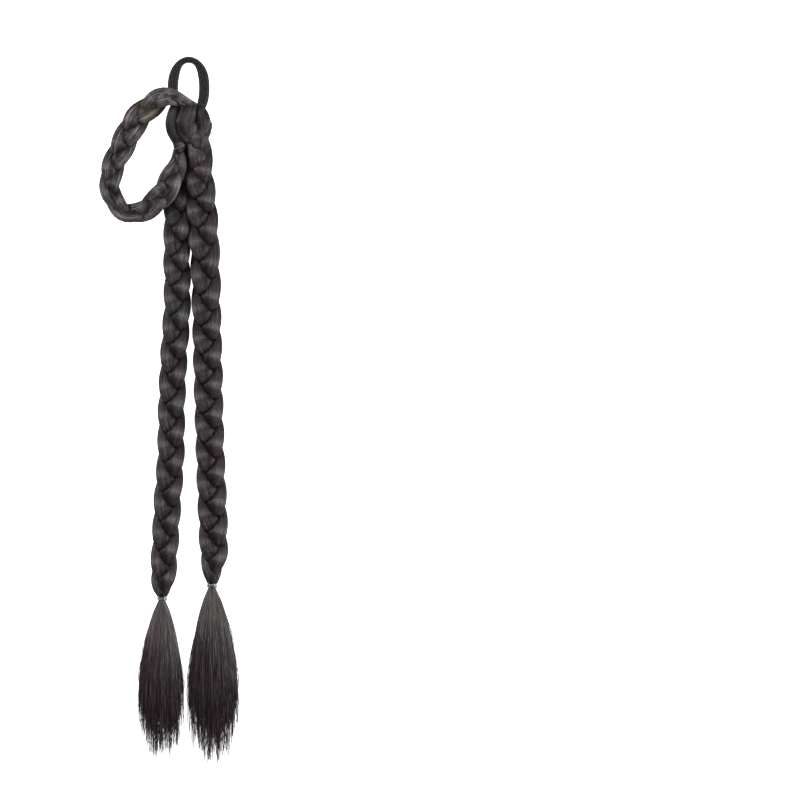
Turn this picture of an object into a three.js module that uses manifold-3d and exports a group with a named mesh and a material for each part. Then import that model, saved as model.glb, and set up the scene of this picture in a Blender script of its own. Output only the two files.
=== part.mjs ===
// A braided hairpiece on an elastic ring, lying flat. Millimetres, +Z up, +Y towards the ring. Hair is
// folded over the lower arc of a covered elastic ring. Below the fold hang two long braids that end in
// tassels, and a shorter braid that bends round into a loop, whose end is tied to a section of loose hair.
// All places are taken from the middle of the fold's flat lower face, with the floor at zero height. The
// finished piece is moved at the end.

import * as THREE from 'three';
import { mergeVertices } from 'three/addons/utils/BufferGeometryUtils.js';
import Module from 'manifold-3d';

const wasm = await Module();
wasm.setup();

// Driving dimensions
const clearance = 0.3; // between pieces that touch on the real thing
const lockGap = 0.5; // between the locks of one braid

const ringWidth = 39;
const ringHeight = 59;
const bandSide = { wide: 9.9, thick: 6.5 };
const bandTop = { wide: 6, thick: 9.5 };
const bandHidden = { wide: 6.5, thick: 6.5 };
const ringFullness = 0.9; // below 1 its shoulders are fuller than an oval's
const ringCentreUp = 31.5; // from the fold's lower face to the middle of the ring
const ringHiddenHeight = 10.6; // of the band's middle above the floor, inside the fold

const crownWidth = 41;
const crownHeight = 17.4;
const crownThickness = 21.5;
const loopAboveFold = 6.1; // from the fold's top to the loop's middle line, where it crosses the ring's leg
const loopTip = { right: 7.2, aboveFold: 0.6, sink: 5 }; // sink: below its height over the leg

const mainBraid = { length: 427, width: 27, thickness: 17.2, lockTurn: 81.6, firstPhase: 56 };
const secondBraid = { length: 439, width: 23, thickness: 15, lockTurn: 81.6, firstPhase: 179 };
const loopBraid = { width: 22, thickness: 13, lockTurn: 74.7, firstPhase: -28 };
const loopReach = 52.5; // of the loop's middle line, sideways from the left side of the fold
const loopDrop = 108; // of the loop's middle line, from the ring's leg down to its lowest place

const rootThickness = 7.4; // of the second braid where it is hidden, flat under the rest
const loopRise = 1.8; // of the loop above its tie, where it lies on the second braid
const loopOutside = 2.2; // of the loop's middle line beyond the ring's leg, where it crosses it
const loopPressed = 0.86; // of its half thickness, where it lies on the ring's leg
const loopStartBend = { share: 0.5, up: -0.8, rise: 0.8 }; // between the loop's tip and the leg
const tieApproach = 6; // of the loop's middle line that runs straight into the tie

const partingToTie = 2.7; // from the parting to the loop tie's near side
const leftSectionWidth = 9.5;
const leftSectionThickness = 11.5;
const leftSectionLength = 18;
const loopTie = { height: 8, wall: 1.4, neckWidth: 8.2, turns: 5 };
const mainTie = { height: 3.8, wall: 1.4, neckWidth: 6.6, turns: 2 };
const secondTie = { height: 3.6, wall: 1.4, neckWidth: 6.4, turns: 2 };
const mainTassel = { length: 158, width: 46, thickness: 16, aside: 1.2 };
const secondTassel = { length: 143, width: 42, thickness: 14, aside: -0.7 };
const tasselFlat = 0.5; // depth by which the strips of loose hair are flat where they lie on the floor

const hair = new THREE.MeshStandardMaterial({ color: 0x3b3839, roughness: 0.62, metalness: 0 });
const knit = new THREE.MeshStandardMaterial({ color: 0x262627, roughness: 0.9, metalness: 0 });
const thread = new THREE.MeshStandardMaterial({ color: 0x2d2b2c, roughness: 0.7, metalness: 0 });
const clearBand = new THREE.MeshStandardMaterial({ color: 0x8f8d8c, roughness: 0.35, metalness: 0 });

// How each long braid runs below the fold. at: share of its length. aside: how far its middle line lies
// from its place beside the parting, away from it, as a share of its width. wide and thick: shares of its
// width and thickness. raised: share of the room between the braid and the height of the fold. lean: how
// far the front locks are pulled towards the parting, as a share of the width. slip: degrees by which the
// braiding lags behind an even one.
const mainRun = [
    { at: 0, aside: -0.3, wide: 1.04, thick: 0.94, raised: 1, lean: 0.1, slip: 0 },
    { at: 0.028, aside: -0.28, wide: 1.06, thick: 0.94, raised: 0.9, lean: 0.08, slip: 0 },
    { at: 0.06, aside: -0.1, wide: 0.8, thick: 0.86, raised: 0.6, lean: 0, slip: 0 },
    { at: 0.1, aside: -0.14, wide: 0.91, thick: 0.95, raised: 0.25, lean: 0, slip: 0 },
    { at: 0.15, aside: -0.08, wide: 0.96, thick: 1, raised: 0, lean: 0, slip: 0 },
    { at: 0.22, aside: 0, wide: 1, thick: 1, raised: 0, lean: 0, slip: 0 },
    { at: 0.3, aside: 0.07, wide: 0.98, thick: 1, raised: 0, lean: 0, slip: 18 },
    { at: 0.4, aside: 0.11, wide: 0.96, thick: 1, raised: 0, lean: 0, slip: 39 },
    { at: 0.5, aside: 0.15, wide: 0.96, thick: 1, raised: 0, lean: 0, slip: 39 },
    { at: 0.7, aside: 0.23, wide: 0.95, thick: 1, raised: 0, lean: 0, slip: 39 },
    { at: 0.93, aside: 0.36, wide: 0.93, thick: 0.95, raised: 0, lean: 0, slip: 39 },
    { at: 0.965, aside: 0.32, wide: 0.7, thick: 0.82, raised: 0, lean: 0, slip: 39 },
    { at: 1, aside: 0.29, wide: 0.34, thick: 0.52, raised: 0, lean: 0, slip: 39 },
];
const secondRun = [
    { at: 0, aside: 0.03, wide: 0.7, thick: 0 },
    { at: 0.023, aside: -0.06, wide: 0.54, thick: 0 },
    { at: 0.042, aside: -0.16, wide: 0.45, thick: 0 },
    { at: 0.06, aside: -0.14, wide: 0.5, thick: 0 },
    { at: 0.1, aside: -0.02, wide: 0.85, thick: 0.12 },
    { at: 0.14, aside: 0, wide: 0.96, thick: 0.3 },
    { at: 0.2, aside: -0.02, wide: 1, thick: 0.7 },
    { at: 0.26, aside: -0.03, wide: 1.03, thick: 1 },
    { at: 0.38, aside: -0.05, wide: 1.05, thick: 1 },
    { at: 0.48, aside: 0.07, wide: 1.05, thick: 1 },
    { at: 0.6, aside: 0.18, wide: 1.05, thick: 1 },
    { at: 0.7, aside: 0.21, wide: 1.06, thick: 1 },
    { at: 0.8, aside: 0.34, wide: 1.06, thick: 1 },
    { at: 0.9, aside: 0.45, wide: 1.04, thick: 1 },
    { at: 0.96, aside: 0.52, wide: 0.96, thick: 0.95 },
    { at: 0.98, aside: 0.55, wide: 0.74, thick: 0.75 },
    { at: 1, aside: 0.57, wide: 0.36, thick: 0.3 },
];

// The loop's middle line between the ring's left leg and the tie. left: share of the loop's reach. down:
// share of its drop. fromStart and fromEnd: shares of the heights above the floor that its start and its
// end are lifted by.
const loopRun = [
    { left: 0.11, down: 0.025, fromStart: 0.72, fromEnd: 0 },
    { left: 0.25, down: 0.072, fromStart: 0.36, fromEnd: 0 },
    { left: 0.392, down: 0.128, fromStart: 0.1, fromEnd: 0 },
    { left: 0.516, down: 0.185, fromStart: 0, fromEnd: 0 },
    { left: 0.688, down: 0.333, fromStart: 0, fromEnd: 0 },
    { left: 0.822, down: 0.467, fromStart: 0, fromEnd: 0 },
    { left: 0.945, down: 0.603, fromStart: 0, fromEnd: 0 },
    { left: 0.998, down: 0.765, fromStart: 0, fromEnd: 0 },
    { left: 0.937, down: 0.877, fromStart: 0, fromEnd: 0 },
    { left: 0.75, down: 0.985, fromStart: 0, fromEnd: 0 },
    { left: 0.568, down: 1, fromStart: 0, fromEnd: 0.05 },
    { left: 0.41, down: 0.978, fromStart: 0, fromEnd: 0.32 },
    { left: 0.251, down: 0.931, fromStart: 0, fromEnd: 0.75 },
    { left: 0.101, down: 0.864, fromStart: 0, fromEnd: 1.05 },
    { left: -0.013, down: 0.787, fromStart: 0, fromEnd: 1.12 },
    { left: -0.101, down: 0.702, fromStart: 0, fromEnd: 1.08 },
    { left: -0.17, down: 0.616, fromStart: 0, fromEnd: 1 },
];
const loopGirth = [
    { at: 0, wide: 0.22, thick: 0.36 },
    { at: 0.035, wide: 0.38, thick: 0.55 },
    { at: 0.07, wide: 0.56, thick: 0.7 },
    { at: 0.104, wide: 0.7, thick: 0.85 },
    { at: 0.165, wide: 0.92, thick: 1 },
    { at: 0.325, wide: 1.06, thick: 1 },
    { at: 0.47, wide: 0.93, thick: 1 },
    { at: 0.653, wide: 0.77, thick: 1 },
    { at: 0.79, wide: 0.98, thick: 1 },
    { at: 0.904, wide: 0.94, thick: 0.92 },
    { at: 1, wide: 0.4, thick: 0.6 },
];

// Values of a table's column between its rows, on a smooth curve. A column that a table leaves out is zero.
function column(rows, name, at) {
    if (!(name in rows[0])) return 0;
    const last = rows.length - 1;
    let index = rows.findIndex((row) => row.at > at) - 1;
    if (index < 0) index = at <= rows[0].at ? 0 : last - 1;
    const slope = (i) => {
        const before = rows[Math.max(i - 1, 0)];
        const after = rows[Math.min(i + 1, last)];
        return (after[name] - before[name]) / (after.at - before.at);
    };
    const from = rows[index];
    const to = rows[index + 1];
    const span = to.at - from.at;
    const t = THREE.MathUtils.clamp((at - from.at) / span, 0, 1);
    const rise = t * t * (3 - 2 * t);
    const leave = t * (1 - t) * (1 - t) * span * slope(index);
    const arrive = t * t * (1 - t) * span * slope(index + 1);
    return from[name] * (1 - rise) + to[name] * rise + leave - arrive;
}

// A closed body through rings of points, with a flat fan at each end.
function skin(rings) {
    const sides = rings[0].length;
    const points = rings.flat();
    const triangles = [];
    const corner = (ring, side) => ring * sides + (side % sides);
    for (let ring = 0; ring < rings.length - 1; ring += 1) {
        for (let side = 0; side < sides; side += 1) {
            const a = corner(ring, side);
            const b = corner(ring, side + 1);
            const c = corner(ring + 1, side + 1);
            const d = corner(ring + 1, side);
            triangles.push(a, b, c, a, c, d);
        }
    }
    const end = rings.length - 1;
    for (let side = 1; side < sides - 1; side += 1) {
        triangles.push(corner(0, 0), corner(0, side + 1), corner(0, side));
        triangles.push(corner(end, 0), corner(end, side), corner(end, side + 1));
    }
    return bodyOf(points, triangles);
}

// A closed body through rings of points, the last of which joins the first.
function closedSkin(rings) {
    const sides = rings[0].length;
    const triangles = [];
    const corner = (ring, side) => (ring % rings.length) * sides + (side % sides);
    for (let ring = 0; ring < rings.length; ring += 1) {
        for (let side = 0; side < sides; side += 1) {
            const a = corner(ring, side);
            const b = corner(ring, side + 1);
            const c = corner(ring + 1, side + 1);
            const d = corner(ring + 1, side);
            triangles.push(a, b, c, a, c, d);
        }
    }
    return bodyOf(rings.flat(), triangles);
}

function bodyOf(points, triangles) {
    const geometry = new THREE.BufferGeometry();
    const numbers = points.flatMap((point) => [point.x, point.y, point.z]);
    geometry.setAttribute('position', new THREE.Float32BufferAttribute(numbers, 3));
    geometry.setIndex(triangles);
    return geometry;
}

function toSolid(geometry) {
    return new wasm.Manifold(new wasm.Mesh({
        numProp: 3,
        vertProperties: new Float32Array(geometry.getAttribute('position').array),
        triVerts: new Uint32Array(geometry.getIndex().array),
    }));
}

function toGeometry(solid) {
    const mesh = solid.getMesh();
    const geometry = new THREE.BufferGeometry();
    geometry.setAttribute('position', new THREE.BufferAttribute(new Float32Array(mesh.vertProperties), 3));
    geometry.setIndex(new THREE.BufferAttribute(new Uint32Array(mesh.triVerts), 1));
    return geometry;
}

// A block whose top is the floor.
function block(width, length, depth) {
    const geometry = new THREE.BoxGeometry(width, length, depth).translate(0, 0, -depth / 2);
    geometry.deleteAttribute('normal');
    geometry.deleteAttribute('uv');
    return mergeVertices(geometry);
}

// A ring of points round a centre, in the plane of two unit vectors; square above 1 makes its corners
// fuller.
function oval(centre, across, up, halfWide, halfThick, sides, square = 1) {
    const ring = [];
    for (let side = 0; side < sides; side += 1) {
        const angle = (2 * Math.PI * (side + 0.5)) / sides;
        const fill = (value) => Math.sign(value) * Math.abs(value) ** (1 / square);
        ring.push(centre.clone()
            .addScaledVector(across, halfWide * fill(Math.cos(angle)))
            .addScaledVector(up, halfThick * fill(Math.sin(angle))));
    }
    return ring;
}

const worldUp = new THREE.Vector3(0, 0, 1);
const smoothStep = (t) => THREE.MathUtils.smoothstep(t, 0, 1);

// The elastic ring. Its top lies on the floor on edge, and it rises to where the hair holds it.
const ringSteps = 32;
const bandSides = 8;
const bandSquare = 1.35;
const ringTurn = 0.01; // radians to either side, for the direction in which the band runs
const ringTopHeight = bandTop.thick / 2;
const ringMiddleHalfWidth = (ringWidth - bandSide.wide) / 2;
const ringMiddleHalfHeight = (ringHeight - bandTop.wide) / 2;

function ringMiddle(angle) {
    const fuller = (value) => Math.sign(value) * Math.abs(value) ** ringFullness;
    const y = ringCentreUp + ringMiddleHalfHeight * fuller(Math.sin(angle));
    return new THREE.Vector3(ringMiddleHalfWidth * fuller(Math.cos(angle)), y, ringHeightAt(y));
}

function ringHeightAt(y) {
    const top = ringCentreUp + ringMiddleHalfHeight;
    const bottom = ringCentreUp - ringMiddleHalfHeight;
    const share = THREE.MathUtils.clamp((top - y) / (top - bottom), 0, 1);
    return THREE.MathUtils.lerp(ringTopHeight, ringHiddenHeight, share);
}

function bandSection(angle, name) {
    const up = Math.sin(angle);
    const end = up > 0 ? bandTop : bandHidden;
    return THREE.MathUtils.lerp(bandSide[name], end[name], smoothStep(Math.abs(up) ** 2));
}

function elasticRing(extra = 0) {
    const rings = [];
    for (let step = 0; step < ringSteps; step += 1) {
        const angle = (2 * Math.PI * step) / ringSteps;
        const centre = ringMiddle(angle);
        const ahead = ringMiddle(angle + ringTurn).sub(ringMiddle(angle - ringTurn)).normalize();
        const across = new THREE.Vector3().crossVectors(worldUp, ahead).normalize();
        const up = new THREE.Vector3().crossVectors(ahead, across);
        const halfWide = bandSection(angle, 'wide') / 2 + extra;
        const halfThick = bandSection(angle, 'thick') / 2 + extra;
        rings.push(oval(centre, across, up, halfWide, halfThick, bandSides, bandSquare));
    }
    return closedSkin(rings);
}

// The fold: four fused lobes of hair with round tops, a tunnel for the ring's lower arc, and a flat lower
// face. x and half: share of the fold's width. top: share of its height. low and high: shares of its
// thickness.
const lobes = [
    { x: -0.37, xTop: -0.31, half: 0.15, top: 0.92, low: 0.12, high: 0.94 },
    { x: -0.05, xTop: 0.04, half: 0.235, top: 0.88, low: 0.14, high: 1 },
    { x: 0.335, xTop: 0.3, half: 0.16, top: 0.9, low: 0.12, high: 0.94 },
    { x: -0.02, xTop: -0.02, half: 0.46, top: 0.72, low: 0, high: 0.56 },
];
const lobeShape = [
    { at: 0, wide: 1, thick: 1 },
    { at: 0.35, wide: 0.98, thick: 1 },
    { at: 0.62, wide: 0.86, thick: 0.97 },
    { at: 0.85, wide: 0.66, thick: 0.78 },
    { at: 1, wide: 0.42, thick: 0.4 },
];
const lobeSides = 10;
const lobeSquare = 1.2;

function crownWrap() {
    const across = new THREE.Vector3(-1, 0, 0);
    let fold;
    for (const lobe of lobes) {
        const rings = lobeShape.map((row) => {
            const x = THREE.MathUtils.lerp(lobe.x, lobe.xTop, row.at) * crownWidth;
            const middle = ((lobe.low + lobe.high) / 2) * crownThickness;
            const centre = new THREE.Vector3(x, row.at * lobe.top * crownHeight, middle);
            const halfWide = lobe.half * crownWidth * row.wide;
            const halfThick = ((lobe.high - lobe.low) / 2) * crownThickness * row.thick;
            return oval(centre, across, worldUp, halfWide, halfThick, lobeSides, lobeSquare);
        });
        const solid = toSolid(skin(rings));
        fold = fold ? fold.add(solid) : solid;
    }
    return toGeometry(fold.subtract(toSolid(elasticRing(clearance))));
}

// A braid of three locks. Each lock swings from side to side once in a turn and from back to front twice,
// a third of a turn behind the next. place(share) gives the braid's middle, its half width and half
// thickness.
const lockSides = 8;
const sectionsPerTurn = 11.5;
const swing = { sideways: 0.38, upright: 0.5 }; // of the braid's half width and half thickness
const lockShare = { wide: 0.67, thick: 0.5 }; // a lock's own half width and half thickness
const squareEnd = 0.1; // of a turn, over which a lock's sections turn square to the braid at its ends
const lineSteps = 6; // of a lock's middle line from one section to the next
const neighbourhood = 0.3; // of a turn, to either side, over which the other locks are looked at
const halvings = 12; // of the range in which a lock's reach lies
const clearingPasses = 5;

function lockMiddle(place, braid, length, lock, share) {
    const at = place(share);
    const turns = (share * length) / braid.lockTurn;
    const phase = THREE.MathUtils.degToRad(braid.firstPhase + 120 * lock - at.slip + 360 * turns);
    const upright = -Math.sin(2 * phase);
    const sideways = Math.sin(phase) * swing.sideways * at.halfWide - upright * at.lean;
    return at.middle.clone()
        .addScaledVector(at.across, sideways)
        .addScaledVector(worldUp, upright * swing.upright * at.halfThick);
}

// How far a lock reaches from its middle line: to its own oval, or half way to the nearest other lock.
function lockReach(from, direction, ovalReach, others) {
    let low = 0;
    let high = ovalReach;
    const probe = new THREE.Vector3();
    const clear = (reach) => {
        probe.copy(from).addScaledVector(direction, reach);
        const limit = (reach + lockGap) ** 2;
        return others.every((point) => point.distanceToSquared(probe) >= limit);
    };
    if (clear(high)) return high;
    for (let step = 0; step < halvings; step += 1) {
        const middle = (low + high) / 2;
        if (clear(middle)) low = middle;
        else high = middle;
    }
    return low;
}

function nearest(line, point) {
    let least = Infinity;
    for (const other of line) least = Math.min(least, other.distanceToSquared(point));
    return Math.sqrt(least);
}

// Pulls corners in until the straight edges between them clear the other locks as well.
function clearEdges(sections) {
    const middle = new THREE.Vector3();
    const corner = (section, side) => {
        const index = side % lockSides;
        return section.from.clone().addScaledVector(section.directions[index], section.reaches[index]);
    };
    for (let pass = 0; pass < clearingPasses; pass += 1) {
        for (let step = 0; step < sections.length - 1; step += 1) {
            const [here, next] = [sections[step], sections[step + 1]];
            for (let side = 0; side < lockSides; side += 1) {
                const edges = [
                    [here, side, next, side],
                    [here, side, next, side + 1],
                    [here, side, here, side + 1],
                ];
                for (const [first, firstSide, second, secondSide] of edges) {
                    middle.lerpVectors(corner(first, firstSide), corner(second, secondSide), 0.5);
                    const short = nearest(here.own, middle) + lockGap - nearest(here.others, middle);
                    if (short <= 0) continue;
                    first.reaches[firstSide % lockSides] -= short / 2;
                    second.reaches[secondSide % lockSides] -= short / 2;
                }
            }
        }
    }
    return sections.map((section) => section.directions.map((_, side) => corner(section, side)));
}

function braidLocks(place, braid, length) {
    const steps = Math.round((sectionsPerTurn * length) / braid.lockTurn);
    const lines = [0, 1, 2].map((lock) => {
        const line = [];
        for (let step = 0; step <= steps * lineSteps; step += 1) {
            line.push(lockMiddle(place, braid, length, lock, step / (steps * lineSteps)));
        }
        return line;
    });
    const nearby = Math.round(sectionsPerTurn * lineSteps * neighbourhood);
    return lines.map((line, lock) => {
        const sections = [];
        for (let step = 0; step <= steps; step += 1) {
            const index = step * lineSteps;
            const share = step / steps;
            const at = place(share);
            const before = line[Math.max(index - 2, 0)];
            const after = line[Math.min(index + 2, line.length - 1)];
            const own = after.clone().sub(before).normalize();
            const fromEnd = (Math.min(share, 1 - share) * length) / (squareEnd * braid.lockTurn);
            const ahead = at.ahead.clone().lerp(own, smoothStep(Math.min(fromEnd, 1))).normalize();
            const across = new THREE.Vector3().crossVectors(worldUp, ahead).normalize();
            const up = new THREE.Vector3().crossVectors(ahead, across);
            const stretch = [Math.max(index - nearby, 0), index + nearby + 1];
            const others = lines
                .filter((_, other) => other !== lock)
                .flatMap((other) => other.slice(...stretch));
            const halfWide = lockShare.wide * at.halfWide;
            const halfThick = lockShare.thick * at.halfThick;
            const from = line[index];
            const outline = oval(from, across, up, halfWide, halfThick, lockSides);
            const directions = outline.map((point) => point.clone().sub(from).normalize());
            const reaches = outline.map((point, side) => (
                lockReach(from, directions[side], point.distanceTo(from), others)
            ));
            sections.push({ from, directions, reaches, others, own: line.slice(...stretch) });
        }
        return skin(clearEdges(sections));
    });
}

// The long braids lie on the floor on either side of the parting below the fold.
const downwards = new THREE.Vector3(0, -1, 0);
const liftStart = 0.93; // share of a long braid's length at which it begins to rise to its tie
const levelEnds = [0.03, 0.99]; // shares of its length before and after which its sections stand upright
const slopeStep = 0.002; // share of its length to either side, for its direction
const tieRadius = (tie) => tie.neckWidth / 2 + clearance + tie.wall;
const mainRoom = crownThickness - mainBraid.thickness;

function longBraidPlace(braid, rows, side, thickAt, room, tie) {
    const beside = (braid.width + clearance) / 2;
    const endLift = Math.max(tieRadius(tie) - thickAt(1) / 2, 0);
    const middleAt = (share) => {
        const x = side * (beside + column(rows, 'aside', share) * braid.width);
        const lying = thickAt(share) / 2 + column(rows, 'raised', share) * room;
        const lift = endLift * smoothStep((share - liftStart) / (1 - liftStart));
        return new THREE.Vector3(x, -clearance - share * braid.length, lying + lift);
    };
    return (share) => {
        const slope = middleAt(share + slopeStep).sub(middleAt(share - slopeStep)).normalize();
        const level = share < levelEnds[0] || share > levelEnds[1];
        return {
            middle: middleAt(share),
            ahead: level ? downwards.clone() : slope,
            across: new THREE.Vector3(1, 0, 0),
            halfWide: (column(rows, 'wide', share) * braid.width) / 2,
            halfThick: thickAt(share) / 2,
            lean: column(rows, 'lean', share) * braid.width,
            slip: column(rows, 'slip', share),
        };
    };
}

const mainThickAt = (share) => column(mainRun, 'thick', share) * mainBraid.thickness;
const secondThickAt = (share) => (
    THREE.MathUtils.lerp(rootThickness, secondBraid.thickness, column(secondRun, 'thick', share))
);
const mainPlace = longBraidPlace(mainBraid, mainRun, 1, mainThickAt, mainRoom, mainTie);
const secondPlace = longBraidPlace(secondBraid, secondRun, -1, secondThickAt, 0, secondTie);

// The section of loose hair from the fold's left lobe to the neck inside the loop's tie.
const leftSides = 10;
const tieHeightAboveFloor = rootThickness + clearance + tieRadius(loopTie);
const loopTieX = -(partingToTie + tieRadius(loopTie));
const leftLobeX = lobes[0].x * crownWidth;
const leftRun = [
    { at: 0, x: 0, wide: 1, thick: 1 },
    { at: 0.35, x: 0.12, wide: 0.98, thick: 0.95 },
    { at: 0.7, x: 0.55, wide: 0.8, thick: 0.85 },
    { at: 1, x: 1, wide: 0.86, thick: 0.72 },
];

function leftSection() {
    const across = new THREE.Vector3(1, 0, 0);
    const rings = leftRun.map((row) => {
        const x = THREE.MathUtils.lerp(leftLobeX, loopTieX, row.x);
        const halfWide = (row.wide * leftSectionWidth) / 2;
        const halfThick = (row.thick * leftSectionThickness) / 2;
        const z = rootThickness + clearance + halfThick;
        const centre = new THREE.Vector3(x, -clearance - row.at * leftSectionLength, z);
        return oval(centre, across, worldUp, halfWide, halfThick, leftSides);
    });
    const neckTop = -clearance - leftSectionLength;
    for (const y of [neckTop - clearance, neckTop - clearance - loopTie.height]) {
        const centre = new THREE.Vector3(loopTieX, y, tieHeightAboveFloor);
        rings.push(oval(centre, across, worldUp, loopTie.neckWidth / 2, loopTie.neckWidth / 2, leftSides));
    }
    return skin(rings);
}

// A tie: a wound band whose turns show as ridges.
const tieSegments = 14;
const tieGroove = 0.62; // thickness between its turns, as a share of its wall

function tieRing(tie, centre) {
    const inner = tie.neckWidth / 2 + clearance;
    const profile = [new THREE.Vector2(inner, 0)];
    for (let turn = 0; turn < tie.turns; turn += 1) {
        const start = (turn / tie.turns) * tie.height;
        const end = ((turn + 1) / tie.turns) * tie.height;
        profile.push(new THREE.Vector2(inner + tie.wall * tieGroove, start));
        profile.push(new THREE.Vector2(inner + tie.wall, (start + end) / 2));
    }
    profile.push(new THREE.Vector2(inner + tie.wall * tieGroove, tie.height));
    profile.push(new THREE.Vector2(inner, tie.height));
    const rings = [];
    for (let segment = 0; segment < tieSegments; segment += 1) {
        const angle = (2 * Math.PI * segment) / tieSegments;
        rings.push(profile.map((point) => new THREE.Vector3(
            centre.x + point.x * Math.cos(angle),
            centre.y - point.y,
            centre.z - point.x * Math.sin(angle),
        )));
    }
    return closedSkin(rings);
}

// A tassel: tapered strips of hair fused to the neck that runs up through the tie. The strips lie on the
// floor. x and half: where a strip lies across the tassel at its widest, and its width, as shares of half
// the tassel's and of all of it. length: share of the tassel's length. high: share of its thickness.
const strips = [
    { x: -0.76, half: 0.26, length: 0.86, high: 0.52 },
    { x: 0.78, half: 0.25, length: 0.89, high: 0.5 },
    { x: -0.44, half: 0.31, length: 0.95, high: 0.78 },
    { x: 0.46, half: 0.31, length: 0.97, high: 0.8 },
    { x: -0.1, half: 0.34, length: 1, high: 1 },
    { x: 0.2, half: 0.28, length: 0.93, high: 0.96 },
];
const stripShape = [
    { at: 0, spread: 0.1, wide: 0.36, thick: 0.4 },
    { at: 0.1, spread: 0.36, wide: 0.54, thick: 0.62 },
    { at: 0.26, spread: 0.68, wide: 0.8, thick: 0.86 },
    { at: 0.5, spread: 0.94, wide: 0.98, thick: 1 },
    { at: 0.74, spread: 0.99, wide: 0.94, thick: 0.84 },
    { at: 1, spread: 0.84, wide: 0.16, thick: 0.16 },
];
const stripSides = 7;
const lyingFrom = 0.26; // share of a strip's length from which it lies on the floor
const underFloor = toSolid(block(4 * mainBraid.length, 4 * mainBraid.length, mainBraid.thickness));

function tassel(size, tie, braidEnd) {
    const across = new THREE.Vector3(1, 0, 0);
    const top = braidEnd.y - clearance;
    const start = top - tie.height - clearance;
    const neckRings = [top, start, start - tie.neckWidth].map((y) => {
        const centre = new THREE.Vector3(braidEnd.x, y, braidEnd.z);
        return oval(centre, across, worldUp, tie.neckWidth / 2, tie.neckWidth / 2, stripSides);
    });
    let whole = toSolid(skin(neckRings));
    for (const strip of strips) {
        const rings = stripShape.map((row) => {
            const y = start - row.at * strip.length * size.length;
            const x = braidEnd.x + row.spread * ((strip.x * size.width) / 2 + size.aside);
            const high = strip.high * row.thick * size.thickness;
            const lying = smoothStep(row.at / lyingFrom);
            const z = THREE.MathUtils.lerp(braidEnd.z, high / 2 - tasselFlat, lying);
            const halfWide = (row.wide * strip.half * size.width) / 2;
            return oval(new THREE.Vector3(x, y, z), across, worldUp, halfWide, high / 2, stripSides);
        });
        whole = whole.add(toSolid(skin(rings)));
    }
    return toGeometry(whole.subtract(underFloor));
}

// The loop's route: over the ring's left leg, out and round on the floor, and up over the second braid to
// the tie.
const loopHalf = loopBraid.thickness / 2;
const crossingY = crownHeight + loopAboveFold;
const loopStartHeight = ringHeightAt(crossingY) + bandSide.thick / 2 + clearance + loopHalf * loopPressed;
const crossing = new THREE.Vector3(-ringMiddleHalfWidth - loopOutside, crossingY, loopStartHeight);
const loopEndHeight = tieHeightAboveFloor + loopRise;
const tieEnd = new THREE.Vector3(
    loopTieX,
    -3 * clearance - leftSectionLength - loopTie.height,
    tieHeightAboveFloor,
);

function loopCurve() {
    const left = -crownWidth / 2;
    const tipY = crownHeight + loopTip.aboveFold;
    const tip = new THREE.Vector3(loopTip.right, tipY, loopStartHeight - loopTip.sink);
    const between = tip.clone().lerp(crossing, loopStartBend.share);
    between.y += loopStartBend.up;
    between.z += loopStartBend.rise;
    const points = [tip, between, crossing];
    for (const row of loopRun) {
        const startLift = (loopStartHeight - loopHalf) * row.fromStart;
        const endLift = (loopEndHeight - loopHalf) * row.fromEnd;
        points.push(new THREE.Vector3(
            left - row.left * loopReach,
            crossing.y - row.down * loopDrop,
            loopHalf + startLift + endLift,
        ));
    }
    points.push(tieEnd.clone().setY(tieEnd.y - tieApproach));
    points.push(tieEnd);
    return new THREE.CatmullRomCurve3(points, false, 'centripetal');
}

function loopPlace(curve) {
    return (share) => {
        const ahead = curve.getTangentAt(share);
        return {
            middle: curve.getPointAt(share),
            ahead,
            across: new THREE.Vector3().crossVectors(worldUp, ahead).normalize(),
            halfWide: (column(loopGirth, 'wide', share) * loopBraid.width) / 2,
            halfThick: (column(loopGirth, 'thick', share) * loopBraid.thickness) / 2,
            lean: 0,
            slip: 0,
        };
    };
}

const piece = new THREE.Group();

function addPiece(name, geometry, material) {
    const mesh = new THREE.Mesh(geometry, material);
    mesh.name = name;
    piece.add(mesh);
}

function addBraid(name, locks) {
    locks.forEach((geometry, index) => addPiece(`${name}_lock_${index + 1}`, geometry, hair));
}

const below = (point) => point.clone().setY(point.y - clearance);
const loopLine = loopCurve();
const loopTieTop = new THREE.Vector3(loopTieX, tieEnd.y + clearance + loopTie.height, tieHeightAboveFloor);
const mainEnd = mainPlace(1).middle;
const secondEnd = secondPlace(1).middle;

addPiece('elastic_ring', elasticRing(), knit);
addPiece('crown_wrap', crownWrap(), hair);
addPiece('left_section', leftSection(), hair);
addBraid('main_braid', braidLocks(mainPlace, mainBraid, mainBraid.length));
addBraid('second_braid', braidLocks(secondPlace, secondBraid, secondBraid.length));
addBraid('loop_braid', braidLocks(loopPlace(loopLine), loopBraid, loopLine.getLength()));
addPiece('loop_tie', tieRing(loopTie, loopTieTop), thread);
addPiece('main_tie', tieRing(mainTie, below(mainEnd)), clearBand);
addPiece('second_tie', tieRing(secondTie, below(secondEnd)), clearBand);
addPiece('main_tassel', tassel(mainTassel, mainTie, mainEnd), hair);
addPiece('second_tassel', tassel(secondTassel, secondTie, secondEnd), hair);

// The finished piece stands at the middle of its own box, on the floor.
const whole = new THREE.Box3().setFromObject(piece, true);
piece.position.set(-(whole.min.x + whole.max.x) / 2, -(whole.min.y + whole.max.y) / 2, -whole.min.z);

export default piece;
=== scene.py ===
"""The looks of a braided hairpiece on an elastic ring, lying on a pale floor and seen from straight above.

Lengths are worked out in millimetres from the middle of the fold's flat lower face, as in the part's own
source, and turned to metres in the frame's own place when a mesh is made.
"""

import math

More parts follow.
